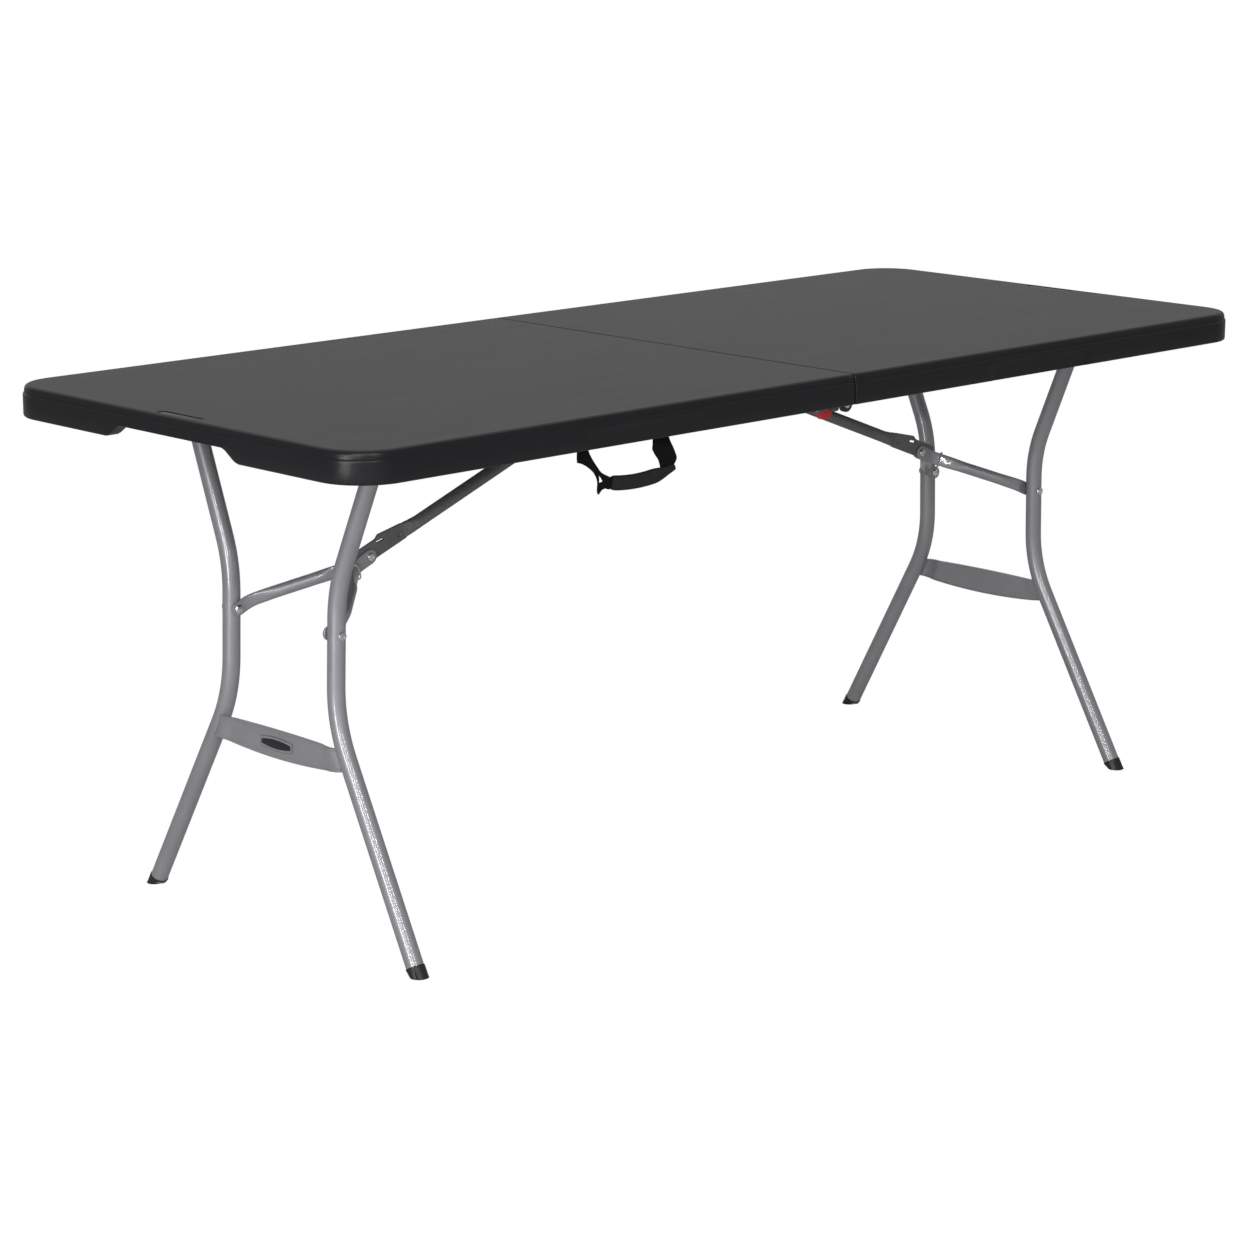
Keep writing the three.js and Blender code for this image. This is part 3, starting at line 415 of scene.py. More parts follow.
def circle(cx, cy, r, count, start=0.0, end=2 * math.pi, clockwise=False):
    """Points round a whole circle, or along an arc with both of its ends."""
    full = abs(end - start - 2 * math.pi) < 1e-6
    spans = count if full else count - 1
    angles = [start + (end - start) * i / spans for i in range(count)]
    points = [Vector((cx + r * math.cos(a), cy + r * math.sin(a))) for a in angles]
    return points[::-1] if clockwise else points


def rounded(points, radius, steps=5):
    """A closed outline with each corner rounded; radius may be a list."""
    out = []
    radii = radius if isinstance(radius, (list, tuple)) else [radius] * len(points)
    vs = [Vector(p) for p in points]
    for i, p in enumerate(vs):
        a, b = (vs[i - 1] - p), (vs[(i + 1) % len(vs)] - p)
        reach = min(radii[i], a.length * 0.49, b.length * 0.49)
        s, e = p + a.normalized() * reach, p + b.normalized() * reach
        out += [quadratic(s, p, e, k / steps) for k in range(steps + 1)]
    return out


def rectangle(x0, y0, x1, y1):
    return [(x0, y0), (x1, y0), (x1, y1), (x0, y1)]


def spindle(low, high, low_end, high_end):
    """A turned profile. An end is rows of (radius, distance beyond low or high), from the shank outwards."""
    return [(r, low - d) for r, d in reversed(low_end)] + [(r, high + d) for r, d in high_end]


def in_xz(point, y):
    return Vector((point.x, y, point.y))


# ---- Moulded top ----
RELIEF = (298.0, 520.0)  # from and to, along the long side
RELIEF_DEPTH = 1.4
RELIEF_TOP = 721.0
RELIEF_FADE = 9.0  # height over which the relief runs out under its top
RELIEF_EASE = 5.0  # half the length of each of its ends
RELIEF_REACH = 6.0  # the relief touches only the skin this close to the side
CUTOUT_FLAT = 108.0
CUTOUT_FOOT = 144.0
CUTOUT_RISE = 17.5
CUTOUT_REACH = 4.0  # how far past the end rim the cutout goes
APRON_ROUND = 3.0  # height of the rounding at the apron's foot
CHANNEL_X = (506.0, 668.0)
CHANNEL_RISE = 8.6
LABEL_X = (888.0, 903.0)
LABEL_HALF = 44.0
LABEL_CORNER = 3.5
SEAM_BEVEL = 1.4
SEAM_YS = (200, 0, -200)
CORNER_STEPS = 14
SIDE_XS = [
    20, 80, 160, 230, 285, 294, 298, 303, 310, 350, 400, 460, 508, 515, 520, 524, 533, 600, 680, 760, 820,
]
END_YS = [0, 40, 80, 100, 108, 113, 118, 123, 128, 133, 138, 144, 152, 180, 220, 260]
# Down the inside of the rim: (distance out from the pocket's wall, extra corner radius, height)
POCKET_ROWS = ((0.0, 0.0, 733.0), (0.0, 0.0, 705.0), (0.4, 0.0, 696.0), (1.2, 0.0, 693.8), (3.0, 1.0, 693.0))
# Up the apron and over its edge: (inset from the sides and the end, inset from the seam, height)
APRON_ROWS = (
    (4.0, 2.8, 693.0), (1.9, 1.3, 693.4), (0.6, 0.8, 694.4), (0.0, 0.6, 696.0), (0.0, 0.6, 712.0),
    (0.0, 0.6, 717.0), (0.0, 0.6, 721.0), (0.0, 0.6, 724.4), (0.4, 0.6, 725.0), (1.7, 0.6, 725.9),
    (1.8, 0.6, 727.5), (2.1, 0.6, 731.0), (2.9, 0.6, 733.6), (4.2, 0.7, 735.4), (6.1, 1.0, 736.5),
    (8.5, 1.7, 737.0), (9.5, 2.7, 737.0),
)
TOP_ROWS = 4  # the last rows have the finish of the top
LABEL_ROWS = ((0.0, 737.0), (0.3, 735.6), (0.9, 735.1), (2.2, 735.1), (2.7, 736.0), (3.3, 736.2))


def outline(side_in, end_in, seam_in, radius):
    """The half's outline: front side, end and rear side, then back along the seam."""
    cx = -(END_X - end_in - radius)
    cy = SIDE_Y - side_in - radius
    x0 = -(SEAM_X + seam_in)
    y0 = -(SIDE_Y - side_in)
    front = [Vector((x0, y0 + SEAM_BEVEL)), Vector((x0 - SEAM_BEVEL, y0))]
    front += [Vector((-x, y0)) for x in SIDE_XS]
    for i in range(CORNER_STEPS + 1):
        a = math.pi / 2 * i / CORNER_STEPS
        front.append(Vector((cx - radius * math.sin(a), -cy - radius * math.cos(a))))
    end = [Vector((-(END_X - end_in), y)) for y in sorted({-y for y in END_YS} | set(END_YS))]
    rear = [Vector((p.x, -p.y)) for p in reversed(front)]
    seam = [Vector((x0, y)) for y in SEAM_YS]
    return front + end + rear + seam


def rim_point(p, z, side_in):
    """A point of the rim at a height, moved by the cutout in the end or the relief in the long side."""
    if p.x < -(END_X - END_RIM - CUTOUT_REACH):
        if z >= RELIEF_TOP:
            return Vector((p.x, p.y, z))
        bottom = APRON_Z + CUTOUT_RISE * (1 - smooth(abs(p.y), CUTOUT_FLAT, CUTOUT_FOOT))
        return Vector((p.x, p.y, bottom + (z - APRON_Z) * (RELIEF_TOP - bottom) / (RELIEF_TOP - APRON_Z)))
    if abs(p.y) <= SIDE_Y - RELIEF_REACH or z > RELIEF_TOP:
        return Vector((p.x, p.y, z))
    start, stop = (smooth(-p.x, edge - RELIEF_EASE, edge + RELIEF_EASE) for edge in RELIEF)
    deep = RELIEF_DEPTH * (start - stop) * (1 - smooth(z, RELIEF_TOP - RELIEF_FADE, RELIEF_TOP))
    rounding = 0.0 if z > APRON_Z + APRON_ROUND else side_in * 0.5
    return Vector((p.x, math.copysign(min(abs(p.y), SIDE_Y - deep - rounding), p.y), z))


def label_recess(shape):
    """A groove round a raised floor, sunk in the top near its end. Gives the indices of its outer ring."""
    near, far = (-x for x in LABEL_X)
    label = rounded(rectangle(far, -LABEL_HALF, near, LABEL_HALF), LABEL_CORNER)
    centre = sum(label, Vector((0, 0))) / len(label)
    half_x, half_y = (near - far) / 2, LABEL_HALF
    rings = []
    for inset, z in LABEL_ROWS:
        kx, ky = (half_x - inset) / half_x, (half_y - inset) / half_y
        rings.append([Vector((mix(centre.x, p.x, kx), mix(centre.y, p.y, ky), z)) for p in label])
    base = len(shape.points)
    # The groove and the raised floor take the darker plastic copy: painted shade in the recess.
    shape.loft(rings, 1, caps=False)
    last = base + (len(rings) - 1) * len(label)
    shape.faces.append([last + i for i in range(len(label))])
    shape.slots.append(1)
    return [base + i for i in range(len(label))]


def tabletop(half, turned):
    profile = [(SIDE_RIM - k, END_RIM - k, SEAM_RIB - k, POCKET_R + wider, z) for k, wider, z in POCKET_ROWS]
    profile += [(k, k, seam_in, CORNER_R - k, z) for k, seam_in, z in APRON_ROWS]
    shape = Shape()
    rings = [[rim_point(p, z, side_in) for p in outline(side_in, end_in, seam_in, radius)]
             for side_in, end_in, seam_in, radius, z in profile]
    # Slot 1 is the darker plastic copy, painted shade on the rim and the apron; the top rows are set back to
    # the top's plastic.
    shape.loft(rings, 1, caps=False)
    count = len(rings[0])
    first_top = (len(rings) - TOP_ROWS) * count
    for face_index, face in enumerate(shape.faces):
        if min(face) >= first_top:
            shape.slots[face_index] = 0
    hole = label_recess(shape)
    top_ring = [(len(rings) - 1) * count + i for i in range(count)]
    index = top_ring + hole
    for triangle in tessellate_polygon([[shape.points[i] for i in ring] for ring in (top_ring, hole)]):
        shape.faces.append([index[i] for i in triangle])
        shape.slots.append(0)
    shape.faces.append(list(range(count)))
    shape.slots.append(1)
    shape.make(f"{half}_top_shell", [M_TOP, M_PLASTIC_PAINTED_SHADE], f"{half}_half", f"{half}_tabletop", "top_plastic",
               turned, 40, TOP_Z - 0.01)


PANEL_TOP_Z = 733.6
PANEL_LAP = 2.0  # how far the sheet laps into the rim
PANEL_CORNER_R = CORNER_R - 3
GRID_STEP = 8.0
DIMPLE_PITCH = 5  # grid steps from dimple to dimple
DIMPLE_DEPTH = 4.0
DIMPLE_SHARES = (1.0, 0.78, 0.5)  # of the depth, at the middle, the sides and the corners of a dimple


def underside(half, turned):
    """The deck's underside: a sheet with rows of moulded dimples and the folded brace's channel."""
    x0, x1 = -(SEAM_X + SEAM_RIB - PANEL_LAP), -(END_X - END_RIM + PANEL_LAP)
    y1 = SIDE_Y - SIDE_RIM + PANEL_LAP
    nx, ny = int((x0 - x1) / GRID_STEP), 2 * int(y1 / GRID_STEP)
    corner = Vector((-(END_X - CORNER_R), SIDE_Y - CORNER_R))

    def inside_corner(x, y):
        if x >= corner.x or abs(y) <= corner.y:
            return x, y
        away = Vector((x - corner.x, abs(y) - corner.y))
        if away.length > PANEL_CORNER_R:
            away *= PANEL_CORNER_R / away.length
        return corner.x + away.x, math.copysign(corner.y + away.y, y)

    def lift(i, j, x, y):
        if CHANNEL_X[0] < -x < CHANNEL_X[1] and abs(y) < GRID_STEP * 1.5:
            return CHANNEL_RISE
        a, b = abs(i % DIMPLE_PITCH - 2), abs(j % DIMPLE_PITCH - 2)
        dimpled = 2 < i < nx - 2 and 2 < j < ny - 2 and a < 2 and b < 2
        return DIMPLE_DEPTH * DIMPLE_SHARES[a + b] if dimpled else 0.0

    lower, upper = [], []
    for i in range(nx + 1):
        for j in range(ny + 1):
            x, y = inside_corner(mix(x0, x1, i / nx), mix(-y1, y1, j / ny))
            lower.append(Vector((x, y, PANEL_Z + lift(i, j, x, y))))
            upper.append(Vector((x, y, PANEL_TOP_Z)))

    def at(level, i, j):
        return (level * (nx + 1) + i) * (ny + 1) + j

    faces = []
    for i in range(nx):
        for j in range(ny):
            faces.append([at(0, i, j), at(0, i + 1, j), at(0, i + 1, j + 1), at(0, i, j + 1)])
            faces.append([at(1, i, j), at(1, i, j + 1), at(1, i + 1, j + 1), at(1, i + 1, j)])
    edge = [(i, 0) for i in range(nx)] + [(nx, j) for j in range(ny)]
    edge += [(i, ny) for i in range(nx, 0, -1)] + [(0, j) for j in range(ny, 0, -1)]
    for k, (i, j) in enumerate(edge):
        p, q = edge[(k + 1) % len(edge)]
        faces.append([at(0, i, j), at(0, p, q), at(1, p, q), at(1, i, j)])
    shape = Shape()
    shape.add(lower + upper, faces)
    # The underside takes the darker plastic copy: painted shade.
    shape.make(f"{half}_underside", [M_PLASTIC_PAINTED_SHADE], f"{half}_half", None, "top_plastic", turned, 60)


# ---- Leg frame ----
# Turned profiles are rows of (radius, distance along the axis).
FOOT_CAP = [
    (AXIS_R, -9), (12.2, -9), (13.2, -7.5), (13.4, -5), (13.4, FOOT_CAP_HEIGHT - 1.4),
    (13.1, FOOT_CAP_HEIGHT - 0.4), (12.4, FOOT_CAP_HEIGHT), (AXIS_R, FOOT_CAP_HEIGHT - 0.5),
]
TUBE_END = (
    (HINGE_TUBE_R, -1), (HINGE_TUBE_R - 0.8, 0), (HINGE_STUB_R + 1, 0), (HINGE_STUB_R, 1),
    (HINGE_STUB_R, HINGE_STUB - 1), (HINGE_STUB_R - 0.8, HINGE_STUB), (AXIS_R, HINGE_STUB),
)
HINGE_TUBE = spindle(-HINGE_TUBE_HALF, HINGE_TUBE_HALF, TUBE_END, TUBE_END)
RIVET_TAIL = ((PIN_R, 0), (PIN_HEAD_R, 0), (5.6, 1.2), (3.5, 2.3), (AXIS_R, 2.5))
RIVET_HEAD = ((PIN_R, 0), (PIN_HEAD_R, 0), (5.9, 1.2), (3.9, 2.2), (2.2, 2.5), (1.6, 1.9), (AXIS_R, 1.8))
LEG_RIVET = spindle(ARM_END_Y - 2.5, LEG_WAIST_Y + LEG_R + 0.3, RIVET_TAIL, RIVET_HEAD)
# (distance from the hinge axis, distance outwards from the rail)
RETAINER_SECTION = ((6.8, 0), (10.1, 0), (10.5, 0.4), (10.5, 2.4), (10.0, 3), (6.8, 3))
RETAINER_SIDES = 28


def leg_point(y, z):
    return Vector((leg_x(z), y, z))


def leg_path(side):
    low, high = LEG_BENDS_Z
    return bent_path([
        leg_point(side * LEG_FOOT_Y, 0),
        leg_point(side * LEG_WAIST_Y, low),
        leg_point(side * LEG_WAIST_Y, high),
        leg_point(side * LEG_TOP_Y, HINGE_Z),
    ], LEG_BEND_R)


def lean_frame(z):
    """Centre, upward and outward directions of the legs' plane at a height."""
    up = Vector((LEG_LEAN, 0, 1)).normalized()
    out = Vector((-1, 0, LEG_LEAN)).normalized()
    return Vector((leg_x(z), 0, z)), up, out


def leg_frame(half, turned, front):
    body = f"{half}_leg_frame"
    for side in (-1, 1):
        name = f"{half}_front" if side == front else f"{half}_rear"
        path = leg_path(side)
        foot_axis = (path[1] - path[0]).normalized()
        path[0] = path[0] + foot_axis * FOOT_CAP_FLOOR
        tube = Shape().loft(tube_rings(path, LEG_R, 32))
        tube.make(f"{name}_leg_tube", [M_SILVER], body, f"{name}_leg", "silver_paint", turned)
        cap = Shape().lathe(leg_point(side * LEG_FOOT_Y, 0), foot_axis, FOOT_CAP, 36)
        for p in cap.points:
            p.z = max(p.z, 0.0)
        cap.make(f"{name}_foot_cap", [M_FOOT], body, f"{name}_foot", "foot_rubber", turned)
        rivet = Shape().lathe(RIVET, Y_AXIS * side, LEG_RIVET, 20)
        rivet.make(f"{name}_rivet", [M_ZINC], body, f"{name}_brace_rivet", "zinc_steel", turned)
        ring = retainer(side)
        ring.make(f"{name}_retainer", [M_ZINC], body, f"{name}_leg_retainer", "zinc_steel", turned)
    tube = Shape().lathe(leg_point(0, HINGE_Z), Y_AXIS, HINGE_TUBE, 28)
    tube.make(f"{half}_hinge_tube", [M_SILVER], body, f"{half}_leg_hinge_tube", "silver_paint", turned)
    cross_plate(half, turned, body)


def retainer(side):
    rings = []
    start = leg_point(side * OUTSIDE_RAIL_Y, HINGE_Z)
    for i in range(RETAINER_SIDES):
        a = 2 * math.pi * i / RETAINER_SIDES
        radial = Vector((math.cos(a), 0, math.sin(a)))
        rings.append([start + radial * r + Y_AXIS * side * y for r, y in RETAINER_SECTION])
    return Shape().loft(rings, loop=True)


PLATE_Z = 263.0
PLATE_TOP = (281.0, 283.5)  # heights of the upper edge at its ends and in the middle
PLATE_LOW = (252.0, 243.0)
PLATE_HALF_LOW = 145.0  # half the length of the lower edge
PLATE_HALF_TOP = 130.0
PLATE_STEPS = 60
# The rolled lip: (distance in from the edge, distance outwards from the legs' plane)
PLATE_LIP = ((0, 7.6), (0, 11.2), (0.5, 12.0), (1.4, 12.3), (2.6, 12.0), (3.6, 11.0), (5, 10.7))
PLATE_FLANGE = 1.4
PLATE_BACK = 9.2
WELD_OUT = 9.6
WELD_STEPS = 12


def cross_plate(half, turned, body):
    centre, up, out = lean_frame(PLATE_Z)
    shape = Shape()
    rings = []
    for k in range(PLATE_STEPS + 1):
        s = -1 + 2 * k / PLATE_STEPS
        bow = 1 - s * s
        top, low = mix(*PLATE_TOP, bow) - PLATE_Z, mix(*PLATE_LOW, bow) - PLATE_Z
        lap = 2.6 * smooth(abs(s), 0.72, 0.83)  # stands out to lap over the tube
        wrap = 5.0 * smooth(abs(s), 0.88, 1.0)  # then follows the tube back
        section = [(top - d, n) for d, n in PLATE_LIP] + [(low + d, n) for d, n in reversed(PLATE_LIP)]
        inner = section[0][1]
        section += [(low + PLATE_FLANGE, inner), (low + PLATE_FLANGE, PLATE_BACK)]
        section += [(top - PLATE_FLANGE, PLATE_BACK), (top - PLATE_FLANGE, inner)]
        ring = []
        for h, n in section:
            y = s * mix(PLATE_HALF_LOW, PLATE_HALF_TOP, (h - low) / (top - low))
            ring.append(centre + up * h + out * (n + lap - wrap) + Y_AXIS * y)
        rings.append(ring)
    shape.loft(rings)
    for side in (-1, 1):
        weld = []
        for k in range(WELD_STEPS + 1):
            share = k / WELD_STEPS
            wobble = 0.5 * math.sin(k * 2.4) + 0.3 * math.sin(k * 5.1)
            y = side * (mix(PLATE_HALF_LOW, PLATE_HALF_TOP, share) - 1.0) + wobble
            height = mix(PLATE_LOW[0], PLATE_TOP[0], share) - PLATE_Z
            place = centre + up * height + out * WELD_OUT + Y_AXIS * y
            size = 1.9 + 0.45 * math.sin(k * 1.9) if 0 < k < WELD_STEPS else 0.8
            weld.append(ring_at(place, Y_AXIS, out, size, size, 10))
        shape.loft(weld, 1)
    shape.make(f"{half}_cross_plate", [M_SILVER, M_WELD], body, f"{half}_leg_cross_plate", "silver_paint",
               turned)


BADGE_HALF = 35.0
BADGE_END_HALF = 6.5
BADGE_CROWN = 3.2
BADGE_STEPS = 24
# (inset, distance outwards from the legs' plane) rows of the wall, the bright rim and the dark field
BADGE_LEVELS = (
    ((0, 10.9), (0, 11.7), (0.9, 12.0)),
    ((0.9, 11.0), (0.9, 12.0), (1.5, 12.3), (2.6, 12.3), (3.0, 12.1)),
    ((3.0, 11.0), (3.0, 12.0), (3.8, 12.2)),
)


def badge():
    centre, up, out = lean_frame(PLATE_Z)

    def ring(inset, n):
        points = []
        for direction in (-1, 1):
            for k in range(BADGE_STEPS + 1):
                u = direction * (-1 + 2 * k / BADGE_STEPS)
                h = direction * (BADGE_END_HALF + BADGE_CROWN * (1 - u * u) - inset)
                points.append(centre + Y_AXIS * (u * (BADGE_HALF - inset)) + up * h + out * n)
        return points

    shape = Shape()
    for slot, levels in enumerate(BADGE_LEVELS):
        shape.loft([ring(inset, n) for inset, n in levels], slot)
    shape.make("badge_plate", [M_WELD, M_SILVER, M_BADGE], "left_leg_frame", "cross_plate_badge",
               "badge_plastic")


# ---- Braces ----
class Link:
    """Places along a link in the X-Z plane."""

    def __init__(self, start, end):
        self.start = start
        self.along = (end - start).normalized()
        self.up = Vector((-self.along.z, 0, self.along.x))
        self.length = (end - start).length

    def at(self, distance, y=0.0, height=0.0):
        p = self.start + self.along * distance + self.up * height
        return Vector((p.x, y, p.z))


V_LINK = Link(RIVET, KNEE)
BRACE_LINK = Link(KNEE, BRACE_TOP)
ARM_SLOPE = (ARM_END_Y - ARM_NECK_Y) / (ARM_NECK_START - ARM_STRAIGHT)
ARM_BEND_SHIFTS = (-6.0, -3.0, 0.0, 3.0, 6.0)
# Sections of an arm: (distance from the rivet, shift inwards, half thickness, half height, squareness)
ARM_STATIONS = [
    (-9.8, 0, 1.6, 2.5, 3),
    (-9.2, 0, 2.1, 4.8, 4),
    (-7, 0, 2.2, 7.6, 4),
    (-3, 0, 2.2, 9.6, 4),
    (2, 0, 2.2, 10, 4),
    (11, 0, 2.2, 10, 4),
    (28, 1.6, 4.6, 9.6, 2.6),
    (54, 0, 11.0, 9, 2),
    (98, 0, 11.0, 9, 2),
    (118, 0, 4.4, 9.8, 3),
    (ARM_NECK_START - 4, 0, 2.4, 10, 4),
    (ARM_NECK_START + 5, 0, 1.5, 10, 5),
    (V_LINK.length, 0, 1.5, 10.5, 5),
    (V_LINK.length + 4, 0, 1.5, 9.9, 5),
    (V_LINK.length + 7.5, 0, 1.5, 8, 5),
    (V_LINK.length + 9.6, 0, 1.4, 5.2, 5),
    (V_LINK.length + 10.4, 0, 1.0, 2.4, 4),
]


def arm_y(distance):
    """Distance of an arm's centre from the middle of the table, with both bends rounded."""
    total = 0.0
    for shift in ARM_BEND_SHIFTS:
        place = min(max(distance + shift, ARM_STRAIGHT), ARM_NECK_START)
        total += ARM_END_Y - ARM_SLOPE * (place - ARM_STRAIGHT)
    return total / len(ARM_BEND_SHIFTS)


def brace_arm(half, end, side, turned):
    rings = []
    for distance, shift, thick, tall, square in refine(ARM_STATIONS, 5):
        centre = V_LINK.at(distance, side * (arm_y(distance) - shift))
        rings.append(ring_at(centre, Y_AXIS, V_LINK.up, thick, tall, 28, square))
    name = f"{half}_{end}"
    arm = Shape().loft(rings)
    arm.make(f"{name}_arm", [M_SILVER], f"{half}_v_brace", f"{name}_brace_arm", "silver_paint", turned)


BOLT_FROM_TO = (ARM_NECK_Y - 1.5, ARM_NECK_Y + 1.8)
SHANK_END = ((PIN_R, 0), (AXIS_R, 0))
HEAD = ((PIN_R, 0), (6, 0), (6, 1), (5.4, 2.2), (3.8, 2.9), (2.4, 3), (1.9, 2.4), (AXIS_R, 2.2))
NUT = ((PIN_R, 0), (5.3, 0), (5.9, 0.5), (5.9, 2.5), (5.2, 3), (AXIS_R, 3))


def knee_bolt(half, front, turned):
    ends = (("bolt_head", "knee_bolt", front, HEAD, 24), ("lock_nut", "knee_nut", -front, NUT, 6))
    for name, node, side, end, sides in ends:
        bolt = Shape().lathe(KNEE, Y_AXIS * side, spindle(*BOLT_FROM_TO, SHANK_END, end), sides)
        bolt.make(f"{half}_{name}", [M_ZINC], f"{half}_v_brace", f"{half}_{node}", "zinc_steel", turned)


RING_FROM_RIVET = 129.0
RING_HALF_WIDTH = 5.6
RING_HALF_HEIGHT = 11.7
RING_WIRE_R = 1.25


def lock_ring(half, front, turned):
    """A wire bent round the pressed end of the front arm."""
    centre = V_LINK.at(RING_FROM_RIVET, front * arm_y(RING_FROM_RIVET))
    across = (Y_AXIS + V_LINK.along * front * ARM_SLOPE).normalized()
    normal = across.cross(V_LINK.up)
    loop = ring_at(centre, across, V_LINK.up, RING_HALF_WIDTH, RING_HALF_HEIGHT, 40, 3.0)
    rings = []
    for i, p in enumerate(loop):
        ahead = loop[(i + 1) % len(loop)] - loop[i - 1]
        outward = ahead.cross(normal).normalized()
        rings.append(ring_at(p, outward, normal, RING_WIRE_R, RING_WIRE_R, 10))
    ring = Shape().loft(rings, loop=True)
    ring.make(f"{half}_wire_ring", [M_ZINC], f"{half}_lock_ring", f"{half}_lock_ring", "zinc_steel", turned)


BLADE_TAIL = -30.0
BLADE_LOW = -8.5
BLADE_HIGH = 17.0
BLADE_HUMP = 21.0
BLADE_END_HIGH = 15.0
BLADE_TO = 70.0
BLADE_OUTLINE = [
    (BLADE_TAIL, BLADE_LOW), (BLADE_TO, BLADE_LOW), (BLADE_TO, BLADE_END_HIGH), (25, BLADE_HUMP),
    (20, BLADE_HIGH), (BLADE_TAIL, BLADE_HIGH),
]
BLADE_CORNERS = [7, 0.5, 0.5, 4, 4, 9]
BLADE_SLOT = [(17.5, 10.6), (33.5, 8.8), (34.0, 12.4), (18.0, 14.6)]
BLADE_MIDDLE = (BLADE_LOW + BLADE_END_HIGH) / 2
BLADE_TALL = (BLADE_END_HIGH - BLADE_LOW) / 2
DIMPLE = (59.0, 2.5)
DIMPLE_R = 3.0
PIVOT_BORE_R = 4.3
TUBE_RISE = 2.0
EYE_HALF = 4.0
EYE_R = 10.0
BRACE_LENGTH = BRACE_LINK.length
# Sections of the diagonal: (distance from the knee, rise, half thickness, half height, squareness)
DIAGONAL_STATIONS = [
    (BLADE_TO - 2, BLADE_MIDDLE, BLADE_HALF - 0.05, BLADE_TALL - 0.2, 6),
    (BLADE_TO + 4, BLADE_MIDDLE, BLADE_HALF + 1.0, BLADE_TALL - 0.8, 4),
    (BLADE_TO + 14, 2.5, 6.6, 10.0, 2.7),
    (BLADE_TO + 28, TUBE_RISE, BRACE_R, BRACE_R, 2),
    (BRACE_LENGTH - 42, TUBE_RISE, BRACE_R, BRACE_R, 2),
    (BRACE_LENGTH - 26, 0, EYE_HALF, EYE_R, 4),
    (BRACE_LENGTH, 0, EYE_HALF, EYE_R, 4),
    (BRACE_LENGTH + 5, 0, EYE_HALF, 8.6, 4),
    (BRACE_LENGTH + 8.4, 0, EYE_HALF, 5.6, 4),
    (BRACE_LENGTH + 10, 0, EYE_HALF - 0.6, 2.2, 3),
]


def diagonal(half, turned):
    """The pressed blade at the knee, with its slot and pit, and the tube up to the deck."""
    shape = Shape()
    blade = rounded(BLADE_OUTLINE, BLADE_CORNERS)
    slot = rounded(BLADE_SLOT, 1.6, 3)
    bore = circle(0, 0, PIVOT_BORE_R, 20, clockwise=True)
    pit = circle(*DIMPLE, DIMPLE_R, 16, clockwise=True)
    outlines = [blade, slot, bore, pit]
    shape.plate(outlines, -BLADE_HALF, BLADE_HALF, 0.5, lambda q, y: BRACE_LINK.at(q.x, y, q.y))
    floor_r = DIMPLE_R + 0.2
    pit_floor = [(AXIS_R, -0.5), (floor_r, -0.5), (floor_r, 0.5), (AXIS_R, 0.5)]
    shape.lathe(BRACE_LINK.at(DIMPLE[0], 0, DIMPLE[1]), Y_AXIS, pit_floor, 16)
    shape.loft([ring_at(BRACE_LINK.at(d, 0, rise), Y_AXIS, BRACE_LINK.up, thick, tall, 28, square)
                for d, rise, thick, tall, square in refine(DIAGONAL_STATIONS, 4)])
    # The diagonal takes the darker copy of the silver coat: painted shade.
    shape.make(f"{half}_diagonal", [M_SILVER_PAINTED_SHADE], f"{half}_diagonal_brace", f"{half}_diagonal_brace",
               "silver_paint", turned)


PIVOT_HALF = 7.9
PIVOT_END = ((PIN_R, 0), (PIN_HEAD_R, 0), (PIN_HEAD_R, 0.7), (6.0, 1.8), (4.6, 2.4), (AXIS_R, 2.4))


def brace_pin(half, turned):
    pin = Shape().lathe(BRACE_TOP, Y_AXIS, spindle(-PIVOT_HALF, PIVOT_HALF, PIVOT_END, PIVOT_END), 20)
    pin.make(f"{half}_pivot_pin", [M_ZINC], f"{half}_half", f"{half}_brace_pin", "zinc_steel", turned)


# ---- Centre hinges ----
LEAF_LOBE_R = 12.0
LEAF_LOW = 699.0
LEAF_HIGH = 721.7
LEAF_LENGTH = 92.0
LEAF_NECK = 22.0
LEAF_THICK = 3.0
LEAF_JOGGLE = 3.3  # how far the left lobe stands outside the right one
JOGGLE_X = (30.0, 37.0)
HINGE_PIN_TAIL = ((PIN_R, 0), (PIN_HEAD_R, 0), (PIN_HEAD_R, 0.8), (5.4, 1.6), (AXIS_R, 1.6))
HINGE_PIN_HEAD = ((PIN_R, 0), (PIN_HEAD_R, 0), (6.2, 1), (4.6, 1.6), (AXIS_R, 1.6))
HINGE_PIN = spindle(OUTSIDE_RAIL_Y - 0.3, OUTSIDE_RAIL_Y + 6.6, HINGE_PIN_TAIL, HINGE_PIN_HEAD)


